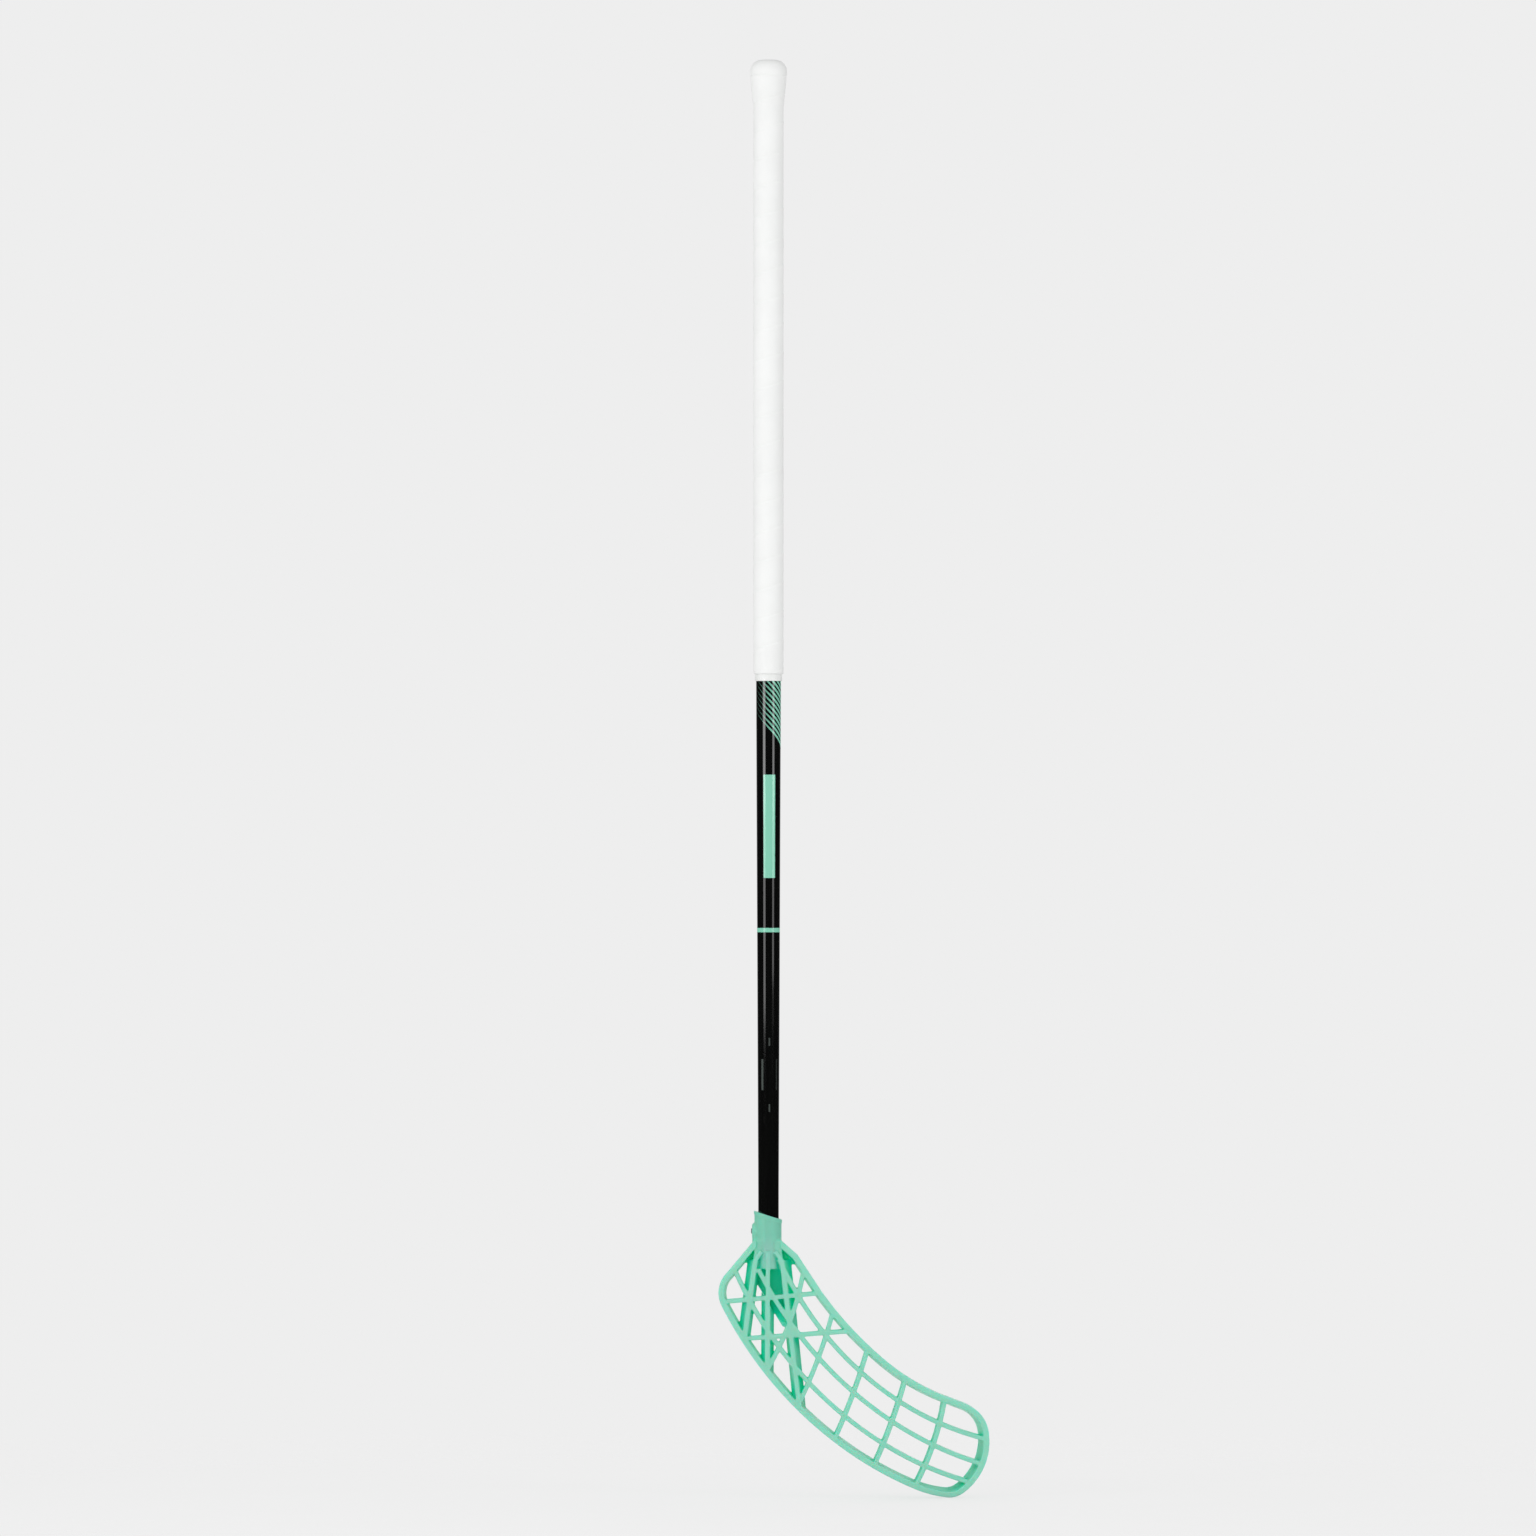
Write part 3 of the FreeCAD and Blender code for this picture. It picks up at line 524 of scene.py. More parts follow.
@dataclass(frozen=True, kw_only=True)
class Finish(ABC):
    """A finish whose gloss clouds from place to place.

    Attributes:
        name: Name of the material.
        roughness: Lowest and highest roughness.
        cloud: Grain that the roughness follows.
        CLOUD_SPAN: Values of that grain between which the roughness changes.
    """

    CLOUD_SPAN: ClassVar[Span] = (0.3, 0.7)

    name: str
    roughness: Span
    cloud: Grain

    @abstractmethod
    def colour(self, shader: Shader) -> NodeSocket:
        """Give the surface's colour."""

    @abstractmethod
    def extras(self, shader: Shader) -> Inputs:
        """Give the surface's inputs besides its colour and its roughness."""

    def material(self) -> bpy.types.Material:
        """Build the finish.

        Returns:
            The material.
        """
        shader = Shader(self.name)
        shader.feed(shader.surface, {
            "Base Color": self.colour(shader),
            "Roughness": shader.mapped(shader.noise(self.cloud), self.CLOUD_SPAN, self.roughness),
            **self.extras(shader),
        })
        return shader.material


@dataclass(frozen=True, kw_only=True)
class GrainedFinish(Finish):
    """A finish of two close tones with a fine relief.

    Attributes:
        tones: Tones where their grain is low and high.
        tone_span: Values of the grain at which the two tones are full.
        tone_grain: Grain that the tones follow.
        relief: Depth of the relief.
        relief_grain: Grain of the relief.
    """

    tones: tuple[Colour, Colour]
    tone_span: Span = (0.35, 0.65)
    tone_grain: Grain
    relief: float
    relief_grain: Grain

    def colour(self, shader: Shader) -> NodeSocket:
        """Give the two tones as their grain mixes them."""
        return shader.ramp(shader.noise(self.tone_grain), self.tone_span, self.tones)

    def extras(self, shader: Shader) -> Inputs:
        """Give the relief."""
        return {"Normal": shader.bump(shader.noise(self.relief_grain), self.relief)}


@dataclass(frozen=True, kw_only=True)
class LacquerFinish(GrainedFinish):
    """Black gloss lacquer over the wound fibre of the tube."""

    name: str = "black_lacquer"
    roughness: Span = (0.05, 0.08)
    cloud: Grain = Grain(35.0, 2.0)
    tones: tuple[Colour, Colour] = (display_colour(4, 4, 4), display_colour(9, 10, 9))
    tone_span: Span = (0.35, 0.7)
    tone_grain: Grain = Grain(1.0, 2.0, (900.0, 900.0, 12.0))
    relief: float = 0.0012 * MM
    relief_grain: Grain = Grain(500.0, 1.0)
    gloss_level: float = 0.9

    def extras(self, shader: Shader) -> Inputs:
        """Give the peel of the lacquer and the level of its gloss."""
        return {**super().extras(shader), "Specular IOR Level": self.gloss_level}


@dataclass(frozen=True, kw_only=True)
class InkFinish(Finish):
    """Ink of the print, under the same lacquer as the tube; the print's own attribute fades it."""

    roughness: Span = LacquerFinish.roughness
    cloud: Grain = LacquerFinish.cloud
    faded: Colour
    full: Colour
    gloss_level: float = LacquerFinish.gloss_level

    def colour(self, shader: Shader) -> NodeSocket:
        """Give the ink by its strength."""
        strength = shader.add("ShaderNodeAttribute", attribute_name=INK_STRENGTH).outputs["Fac"]
        return shader.ramp(strength, UNIT_SPAN, (self.faded, self.full))

    def extras(self, shader: Shader) -> Inputs:
        """Give the level of the lacquer's gloss."""
        return {"Specular IOR Level": self.gloss_level}


@dataclass(frozen=True, kw_only=True)
class StripFinish(GrainedFinish):
    """Soft white polyurethane strip with a fine leathery grain."""

    name: str = "white_grip_strip"
    roughness: Span = (0.5, 0.62)
    cloud: Grain = Grain(120.0, 3.0)
    tones: tuple[Colour, Colour] = (display_colour(247, 248, 247), display_colour(250, 251, 250))
    tone_grain: Grain = Grain(45.0, 4.0)
    relief: float = 0.05 * MM
    relief_grain: Grain = Grain(260.0, 2.0)
    cell_scale: float = 1500.0
    sheen: float = 0.05

    def extras(self, shader: Shader) -> Inputs:
        """Lay fine cells over the coarse relief, and add a slight sheen.

        Args:
            shader: The shader that takes the nodes.

        Returns:
            The normal and the sheen.
        """
        cells = shader.add("ShaderNodeTexVoronoi", {"Vector": shader.place, "Scale": self.cell_scale})
        coarse = shader.bump(shader.noise(self.relief_grain), self.relief)
        return {
            "Normal": shader.bump(cells.outputs["Distance"], self.relief, coarse),
            "Sheen Weight": self.sheen,
        }


@dataclass(frozen=True, kw_only=True)
class TapeFinish(GrainedFinish):
    """White finishing tape, slightly glossy, drawn tight round the grip's end."""

    name: str = "white_tape"
    roughness: Span = (0.32, 0.42)
    cloud: Grain = Grain(200.0, 2.0)
    tones: tuple[Colour, Colour] = (display_colour(240, 242, 240), display_colour(247, 248, 247))
    tone_grain: Grain = Grain(120.0, 3.0)
    relief: float = 0.03 * MM
    relief_grain: Grain = Grain(1.0, 3.0, (90.0, 90.0, 1400.0))


@dataclass(frozen=True, kw_only=True)
class CapFinish(GrainedFinish):
    """White moulded rubber of the butt cap."""

    name: str = "white_cap_rubber"
    roughness: Span = (0.45, 0.58)
    cloud: Grain = Grain(150.0, 2.0)
    tones: tuple[Colour, Colour] = (display_colour(245, 246, 245), display_colour(249, 250, 249))
    tone_grain: Grain = Grain(70.0, 4.0)
    relief: float = 0.02 * MM
    relief_grain: Grain = Grain(1800.0, 3.0)


@dataclass(frozen=True, kw_only=True)
class MouldingFinish(Finish):
    """Mint plastic of the blade, with painted light and shade: a deeper green is painted where its own
    walls close it in, and a darker tone on the socket for its shade.

    Light that soaks through its walls comes out green, less so in the socket.

    Attributes:
        tones: Painted tones of closed-in, walled and open places: a deep, bright green that stands in for
            light bounced round the hollows, a darker painted shade on walls, and pale mint on open faces.
        painted_light_places: How open each of those places is, from 0 to 1.
        reach: How far the walls count that close a place in.
        reach_samples: Looks round each place.
        socket_heights: Heights between which the blade's values turn into the socket's.
        glow_weights: Share of soaked light in the blade and in the socket.
        glow_reach: How far light soaks.
        glow_shares: Shares of that reach in red, green and blue.
    """

    name: str = "mint_moulding_painted_light"
    roughness: Span = (0.28, 0.38)
    cloud: Grain = Grain(90.0, 3.0)
    # Painted light and shade: these tones colour places by how closed-in they are, standing in for light
    # bounced round the hollows and shade on the walls.
    tones: tuple[Colour, ...] = (
        display_colour(4, 234, 196),
        display_colour(36, 206, 168),
        display_colour(152, 219, 196),
    )
    painted_light_places: tuple[float, ...] = (0.24, 0.55, 0.92)
    reach: float = 16.0 * MM
    reach_samples: int = 6
    # Painted shade: the socket is given a darker tone than the open faces of the same plastic, for the
    # shade on its round body.
    socket_tone_with_painted_shade: Colour = display_colour(130, 211, 184)
    socket_heights: Span = (-893.0 * MM, -880.0 * MM)
    relief: float = 0.006 * MM
    relief_grain: Grain = Grain(1600.0, 3.0)
    gloss_level: float = 0.35
    glow_weights: Span = (0.7, 0.3)
    glow_reach: float = 9.0 * MM
    glow_shares: tuple[float, ...] = (0.12, 1.0, 0.8)

    def up_the_neck(self, shader: Shader, target: Span = UNIT_SPAN) -> NodeSocket:
        """Give a value that changes from the blade's to the socket's."""
        height = shader.add("ShaderNodeSeparateXYZ", {"Vector": shader.place}).outputs["Z"]
        return shader.mapped(height, self.socket_heights, target)

    def colour(self, shader: Shader) -> NodeSocket:
        """Give the painted light and shade of the lattice by how closed-in each place is, and above them
        the socket's darker tone of painted shade.

        Args:
            shader: The shader that takes the nodes.

        Returns:
            The colour.
        """
        nearby = {"samples": self.reach_samples, "only_local": True}
        openness = shader.add("ShaderNodeAmbientOcclusion", {"Distance": self.reach}, **nearby)
        # The ramp paints light and shade into the colour by how closed-in each place is.
        lattice = shader.ramp(openness.outputs["AO"], self.painted_light_places, self.tones)
        mixing = {"Fac": self.up_the_neck(shader), "Color1": lattice, "Color2": self.socket_tone_with_painted_shade}
        return shader.add("ShaderNodeMixRGB", mixing).outputs["Color"]

    def extras(self, shader: Shader) -> Inputs:
        """Give the skin of the moulding, its gloss and the light that soaks through it.

        Args:
            shader: The shader that takes the nodes.

        Returns:
            The inputs.
        """
        return {
            "Specular IOR Level": self.gloss_level,
            "Normal": shader.bump(shader.noise(self.relief_grain), self.relief),
            "Subsurface Weight": self.up_the_neck(shader, self.glow_weights),
            "Subsurface Radius": self.glow_shares,
            "Subsurface Scale": self.glow_reach,
        }


@dataclass(frozen=True, kw_only=True)
class SteelFinish(GrainedFinish):
    """Blackened steel of the screw, with the marks of turning."""

    name: str = "dark_steel"
    roughness: Span = (0.34, 0.5)
    cloud: Grain = Grain(900.0, 3.0)
    tones: tuple[Colour, Colour] = (display_colour(118, 121, 121), display_colour(146, 149, 149))
    tone_span: Span = (0.3, 0.7)
    tone_grain: Grain = Grain(600.0, 3.0)
    relief: float = 0.01 * MM
    relief_grain: Grain = Grain(1.0, 1.0, (9000.0, 900.0, 900.0))
    metal: float = 0.6

    def extras(self, shader: Shader) -> Inputs:
        """Give the marks of turning and the share of bare metal."""
        return {**super().extras(shader), "Metallic": self.metal}


class SubAssembly(ABC):
    """A sub-assembly of the stick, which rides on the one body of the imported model."""

    slot: ClassVar[Slot]
    node: ClassVar[str]
    finish: Finish

    @abstractmethod
    def build(self) -> list[Piece]:
        """Build the meshes, one piece each."""

    def dress(self, pieces: Sequence[Piece]) -> None:
        """Give the pieces their finish and tie them to the frame.

        Args:
            pieces: The pieces that were built.
        """
        material = self.finish.material()
        for piece in pieces:
            coat(piece, material)
            tie(piece, self.node)


@dataclass
class Shaft(SubAssembly):
    """The hollow composite tube, straight under the grip and tapered to its foot."""

    slot: ClassVar[Slot] = Slot.SHAFT
    node: ClassVar[str] = "shaft"

    low_radius: float = 8.3 * MM
    wall: float = 1.4 * MM
    low_straight: float = 60.0 * MM
    taper: float = 405.0 * MM
    edge: float = 0.25 * MM
    sleeve_clearance: float = 0.1 * MM
    height_steps: int = 48
    segments: int = 128
    finish: LacquerFinish = LacquerFinish()
    foot: float = field(init=False)
    top: float = field(init=False)
    top_radius: float = field(init=False)
    taper_foot: float = field(init=False)
    taper_top: float = field(init=False)

    def __post_init__(self) -> None:
        """Take the tube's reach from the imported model."""
        low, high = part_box(self.node)
        self.foot, self.top = low[2], high[2]
        self.top_radius = high[0]
        self.taper_foot = self.foot + self.low_straight
        self.taper_top = self.taper_foot + self.taper

    def radius_at(self, height: float) -> float:
        """Give the tube's outside radius at a height."""
        return blend([(self.taper_foot, self.low_radius), (self.taper_top, self.top_radius)], height)

    def sleeve_radius(self) -> float:
        """Give the bore of what sits round the upper part of the tube."""
        return self.top_radius + self.sleeve_clearance

    def outline(self) -> Outline:
        """List the tube's wall, from the foot up outside and down inside.

        Returns:
            The points (radius, height).
        """
        step = (self.top - self.foot) / self.height_steps
        heights = [self.foot + step * k for k in range(self.height_steps + 1)]
        heights += [self.taper_foot, self.taper_top]
        rising = sorted({round(height, MICROMETRE_DIGITS) for height in heights})
        outside = [(self.radius_at(height), height) for height in rising]
        outside[0] = (outside[0][0] - self.edge, self.foot)
        outside.insert(1, (outside[0][0] + self.edge, self.foot + self.edge))
        return outside + [(radius - self.wall, height) for radius, height in reversed(outside)]

    def build(self) -> list[Piece]:
        """Build the tube."""
        return [turned_piece("shaft_tube", self.outline(), self.segments)]


@dataclass(frozen=True)
class Band:
    """A line across a printed bar: its turn in degrees, its edges and the strength of its ink."""

    turn: float
    low: float
    high: float
    strength: float


@dataclass(frozen=True)
class LevelBar:
    """A level bar of the print, between two turns in degrees and two heights."""

    turns: Span
    heights: Span
    strength: float = 1.0
    ends: Ends = Ends.CAPPED

    def bands(self, spacing: float) -> list[Band]:
        """List the bar's bands.

        Args:
            spacing: About how many degrees lie between two bands.

        Returns:
            The bands in order along the bar.
        """
        start, end = self.turns
        steps = round((end - start) / spacing)
        count = steps if self.ends is Ends.JOINED else steps + 1
        turns = [start + (end - start) * k / steps for k in range(count)]
        return [Band(turn, *self.heights, self.strength) for turn in turns]


@dataclass
class TubePrint(SubAssembly):
    """The print on the tube: slanted stripes, a panel, a ring and fine lines.

    Every shape is a thin skin wrapped on the tube. The stripes' widths, in millimetres, and the
    strengths of their ink are tables by the turn in degrees.
    """

    LINES: ClassVar[str] = "shaft_fine_lines"
    slot: ClassVar[Slot] = Slot.SHAFT

    shaft: Shaft
    lift: float = 0.05 * MM
    sink: float = 0.05 * MM
    bar_spacing: float = 3.0
    stripe_count: int = 13
    stripe_spacing: float = 4.5 * MM
    stripe_height: float = -474.2 * MM
    stripe_fall: float = 10.4 * MM
    stripe_turns: Span = (-72.0, 150.0)
    stripe_steps: int = 74
    stripe_widths: Table = (
        (-72.0, 0.3), (-30.0, 0.8), (-8.0, 1.7), (20.0, 2.2), (60.0, 2.4), (135.0, 2.4), (150.0, 0.3),
    )
    stripe_strengths: Table = ((-72.0, 0.05), (-30.0, 0.25), (0.0, 0.7), (30.0, 0.9), (120.0, 1.0))
    panel: LevelBar = LevelBar((-24.4, 33.4), (-594.7 * MM, -512.1 * MM))
    ring: LevelBar = LevelBar((-180.0, 180.0), (-638.1 * MM, -634.7 * MM), ends=Ends.JOINED)
    fine_lines: tuple[LevelBar, ...] = (
        LevelBar((0.8, 8.6), (-729.0 * MM, -722.6 * MM), 0.26),
        LevelBar((0.8, 8.6), (-781.7 * MM, -775.5 * MM), 0.26),
        LevelBar((-40.0, -28.5), (-764.4 * MM, -739.6 * MM), 0.34),
        LevelBar((42.5, 51.5), (-764.4 * MM, -739.6 * MM), 0.06),
    )
    mint_ink: InkFinish = InkFinish(
        name="mint_ink", faded=display_colour(16, 24, 20), full=display_colour(140, 215, 188),
    )
    grey_ink: InkFinish = InkFinish(
        name="grey_ink", faded=display_colour(30, 32, 31), full=display_colour(126, 136, 131),
    )

    def wrapped_bar(self, shape: Shape, bands: Sequence[Band], ends: Ends) -> None:
        """Wrap a bar on the tube.

        Args:
            shape: The bmesh that takes the bar.
            bands: The bar's bands in order along it.
            ends: Whether the bar is capped or runs into its own start.
        """
        layers = shape.verts.layers.float
        layer = layers.get(INK_STRENGTH) or layers.new(INK_STRENGTH)
        loops = []
        for band in bands:
            loop = []
            outside = [(band.low, self.lift), (band.high, self.lift)]
            inside = [(band.high, -self.sink), (band.low, -self.sink)]
            for height, rise in outside + inside:
                radius = self.shaft.radius_at(height) + rise
                corner = shape.verts.new(round_the_axis(radius, math.radians(band.turn), height))
                corner[layer] = band.strength
                loop.append(corner)
            loops.append(loop)
        skin_loops(shape, loops, ends)

    def stripes(self) -> Shape:
        """Draw the stripes, which start under the tape and fall towards the toe's side.

        Returns:
            The shape of all stripes.
        """
        shape = bmesh.new()
        start, end = self.stripe_turns
        for number in range(self.stripe_count):
            middle = self.stripe_height + number * self.stripe_spacing
            bands = []
            for k in range(self.stripe_steps + 1):
                turn = start + (end - start) * k / self.stripe_steps
                height = middle - self.stripe_fall * math.radians(turn)
                half = blend(self.stripe_widths, turn) * MM / 2.0
                bands.append(Band(turn, height - half, height + half, blend(self.stripe_strengths, turn)))
            self.wrapped_bar(shape, bands, Ends.CAPPED)
        return shape

    def level_bars(self, bars: Sequence[LevelBar]) -> Shape:
        """Draw level bars.

        Args:
            bars: The bars.

        Returns:
            The shape of all bars.
        """
        shape = bmesh.new()
        for bar in bars:
            self.wrapped_bar(shape, bar.bands(self.bar_spacing), bar.ends)
        return shape

    def build(self) -> list[Piece]:
        """Build the print.

        Returns:
            Stripes, panel, ring and fine lines, one piece each.
        """
        drawn = {
            "shaft_stripes": self.stripes(),
            "shaft_panel": self.level_bars([self.panel]),
            "shaft_ring": self.level_bars([self.ring]),
            self.LINES: self.level_bars(self.fine_lines),
        }
        return [smooth_object(name, shape) for name, shape in drawn.items()]

    def dress(self, pieces: Sequence[Piece]) -> None:
        """Give the fine lines grey ink and the other shapes mint ink, and tie them to the frame.

        Args:
            pieces: The pieces that were built.
        """
        mint_material = self.mint_ink.material()
        grey_material = self.grey_ink.material()
        for piece in pieces:
            coat(piece, grey_material if piece.name == self.LINES else mint_material)
            tie(piece)


@dataclass
class ButtCap(SubAssembly):
    """The moulded cap: a plug in the tube and a knob with a round shoulder."""

    slot: ClassVar[Slot] = Slot.CAP
    node: ClassVar[str] = "butt_cap"

    shaft: Shaft
    shoulder: float = 9.4 * MM
    shoulder_steps: int = 22
    skirt: float = 8.0 * MM
    head: float = 5.0 * MM
    plug_radius: float = 8.5 * MM
    edge: float = 0.6 * MM
    edge_steps: int = 5
    dome: float = 0.25 * MM
    dome_shares: tuple[float, ...] = (0.75, 0.5, 0.25, 0.0)
    finish: CapFinish = CapFinish()
    foot: float = field(init=False)
    top: float = field(init=False)
    knob_radius: float = field(init=False)

    def __post_init__(self) -> None:
        """Take the cap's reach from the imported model."""
        low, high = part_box(self.node)
        self.foot, self.top = low[2], high[2]
        self.knob_radius = high[0]

    def outline(self) -> Outline:
        """List the cap's section from the plug's foot round to the butt face.

        Returns:
            The points (radius, height).
        """
        seat = self.top - self.head
        rim = seat - self.skirt
        bore = self.shaft.sleeve_radius()
        plug = [
            (0.0, self.foot),
            (self.plug_radius - self.edge, self.foot),
            (self.plug_radius, self.foot + self.edge),
        ]
        channel = [(self.plug_radius, seat), (bore, seat), (bore, rim)]
        hem_centre = (self.knob_radius - self.edge, rim + self.edge)
        hem = arc(hem_centre, self.edge, DOWN, OUTWARD, self.edge_steps)
        shoulder_centre = (self.knob_radius - self.shoulder, self.top - self.dome - self.shoulder)
        shoulder = arc(shoulder_centre, self.shoulder, OUTWARD, UP, self.shoulder_steps)
        flat = shoulder_centre[0]
        face = [(flat * share, self.top - self.dome * share ** 2) for share in self.dome_shares]
        return plug + channel + hem + shoulder + face

    def build(self) -> list[Piece]:
        """Build the cap."""
        return [turned_piece("butt_cap_moulding", self.outline())]


@dataclass
class GripWrap(SubAssembly):
    """The grip strip, wound down the tube with each turn lapped by the next.

    The lap is a table of the strip's rise in millimetres by the share of one pitch. Corners of the
    wound face that come within the least step of its end loops are those loops' own corners.
    """

    slot: ClassVar[Slot] = Slot.GRIP
    node: ClassVar[str] = "grip_wrap"

    shaft: Shaft
    radius: float = 12.0 * MM
    flare_radius: float = 14.3 * MM
    flare_length: float = 30.0 * MM
    end_round: float = 0.9 * MM
    end_steps: int = 4
    pitch: float = 23.0 * MM
    segments: int = ROUND_SEGMENTS
    least_step: float = 0.08 * MM
    lap: tuple[Span, ...] = (
        (0.0, -0.13), (0.02, -0.15), (0.05, -0.09), (0.12, -0.04), (0.25, 0.0), (0.4, 0.03), (0.55, 0.05),
        (0.7, 0.08), (0.82, 0.11), (0.9, 0.13), (0.945, 0.13), (0.97, 0.08), (0.985, -0.02),
    )
    crease: float = 60.0
    finish: StripFinish = StripFinish()
    foot: float = field(init=False)
    top: float = field(init=False)

    def __post_init__(self) -> None:
        """Take the grip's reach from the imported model."""
        low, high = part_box(self.node)
        self.foot, self.top = low[2], high[2]

    def radius_at(self, height: float) -> float:
        """Give the grip's radius at a height, flared under the knob."""
        share = max(0.0, 1.0 - (self.top - height) / self.flare_length)
        return self.radius + (self.flare_radius - self.radius) * eased(share)

    def level_loop(self, shape: Shape, height: float, radii: Sequence[float]) -> Loop:
        """Place a level loop of corners round the grip, each at its own radius."""
        spots = zip(radii, turns_round(self.segments))
        return [shape.verts.new(round_the_axis(radius, turn, height)) for radius, turn in spots]

    def lapped_radii(self, height: float) -> list[float]:
        """Give the radii round the grip at a height, with the rise of the lapped turns.

        Args:
            height: The height.

        Returns:
            The radius of each corner in turn.
        """
        laps = self.lap + ((1.0, self.lap[0][1]),)
        base = self.radius_at(height)
        place = (height - self.foot) / self.pitch
        rises = [blend(laps, (place - step / self.segments) % 1.0) for step in range(self.segments)]
        return [base + rise * MM for rise in rises]

    def wound_face(self, shape: Shape, low_loop: Loop, high_loop: Loop) -> None:
        """Wind the outer face as one spiral sheet between two level loops.

        Args:
            shape: The bmesh that takes the sheet.
            low_loop: Corners of the level loop at the sheet's lower end.
            high_loop: Corners of the level loop at its upper end.
        """
        rows = len(self.lap)
        near = low_loop[0].co.z + self.least_step
        far = high_loop[0].co.z - self.least_step
        corners: dict[tuple[int, int], Corner] = {}

        def corner(row: int, step: int) -> Corner:
            """Give a corner of the sheet, held between the two loops.

            Args:
                row: Row of the lap table, counted on from turn to turn.
                step: Step round the grip; a step past the last one is on the next turn.

            Returns:
                The corner, made when it is first asked for.
            """
            row, step = row + rows * (step // self.segments), step % self.segments
            share, rise = self.lap[row % rows]
            height = self.foot + (row // rows + share + step / self.segments) * self.pitch
            if height <= near:
                return low_loop[step]
            if height >= far:
                return high_loop[step]
            if (row, step) not in corners:
                radius = self.radius_at(height) + rise * MM
                place = round_the_axis(radius, FULL_TURN * step / self.segments, height)
                corners[row, step] = shape.verts.new(place)
            return corners[row, step]

        turns = math.ceil((self.top - self.foot) / self.pitch)
        for row in range(-rows, rows * turns):
            for step in range(self.segments):
                below = (corner(row, step), corner(row, step + 1))
                above = (corner(row + 1, step + 1), corner(row + 1, step))
                add_face(shape, below + above)

    def strip_solid(self) -> Shape:
        """Close the wound face with a rounded foot, the wall of the bore and a level top.

        Returns:
            The closed shape.
        """
        shape = bmesh.new()
        radii = self.lapped_radii(self.foot + self.end_round)
        low_loop = self.level_loop(shape, self.foot + self.end_round, radii)
        high_loop = self.level_loop(shape, self.top, self.lapped_radii(self.top))
        self.wound_face(shape, low_loop, high_loop)
        loops = [low_loop]
        for k in range(1, self.end_steps + 1):
            lean = QUARTER_TURN * k / self.end_steps
            height = self.foot + self.end_round * (1.0 - math.sin(lean))
            inward = self.end_round * (1.0 - math.cos(lean))
            loops.append(self.level_loop(shape, height, [radius - inward for radius in radii]))
        bore = [self.shaft.sleeve_radius()] * self.segments
        loops += [self.level_loop(shape, height, bore) for height in (self.foot, self.top)]
        skin_loops(shape, loops + [high_loop], Ends.OPEN)
        return shape

    def build(self) -> list[Piece]:
        """Build the wound grip."""
        return [smooth_object("grip_strip_wound", self.strip_solid(), self.crease)]


@dataclass
class FinishingTape(SubAssembly):
    """The narrow tape that closes the grip, with the end of its last turn lapped at the back."""

    slot: ClassVar[Slot] = Slot.TAPE
    node: ClassVar[str] = "finishing_tape"

    shaft: Shaft
    edge: float = 0.35 * MM
    edge_steps: int = 4
    middle_shares: tuple[float, ...] = (1.0 / 3.0, 1.0 / 2.0, 2.0 / 3.0)
    segments: int = 180
    lap_step: float = 0.12 * MM
    lap_turns: Span = (150.0, 205.0)
    slack: float = 0.03 * MM
    slack_waves: float = 3.0
    slack_slant: float = 900.0
    finish: TapeFinish = TapeFinish()
    foot: float = field(init=False)
    top: float = field(init=False)
    radius: float = field(init=False)

    def __post_init__(self) -> None:
        """Take the tape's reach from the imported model."""
        low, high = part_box(self.node)
        self.foot, self.top = low[2], high[2]
        self.radius = high[0]

    def relief(self, radius: float, turn: float, height: float) -> float:
        """Give the rise of the lapped end and of slight slack.

        Args:
            radius: Radius of the point before the rise.
            turn: Turn of the point in radians.
            height: Height of the point.

        Returns:
            The rise in metres; none on the bore.
        """
        if radius < self.shaft.sleeve_radius() + self.edge / 2.0:
            return 0.0
        start, end = self.lap_turns
        lapped = self.lap_step if start <= math.degrees(turn) <= end else 0.0
        return lapped + self.slack * math.sin(self.slack_waves * turn + self.slack_slant * height)

    def outline(self) -> Outline:
        """List the tape's section, from the foot of its bore round its outside.

        Returns:
            The points (radius, height).
        """
        bore = self.shaft.sleeve_radius()
        inner = self.radius - self.edge
        low = arc((inner, self.foot + self.edge), self.edge, DOWN, OUTWARD, self.edge_steps)
        high = arc((inner, self.top - self.edge), self.edge, OUTWARD, UP, self.edge_steps)
        width = self.top - self.foot
        middle = [(self.radius, self.foot + width * share) for share in self.middle_shares]
        return [(bore, self.foot)] + low + middle + high + [(bore, self.top)]

    def build(self) -> list[Piece]:
        """Build the tape."""
        return [turned_piece("finishing_tape_band", self.outline(), self.segments, self.relief)]


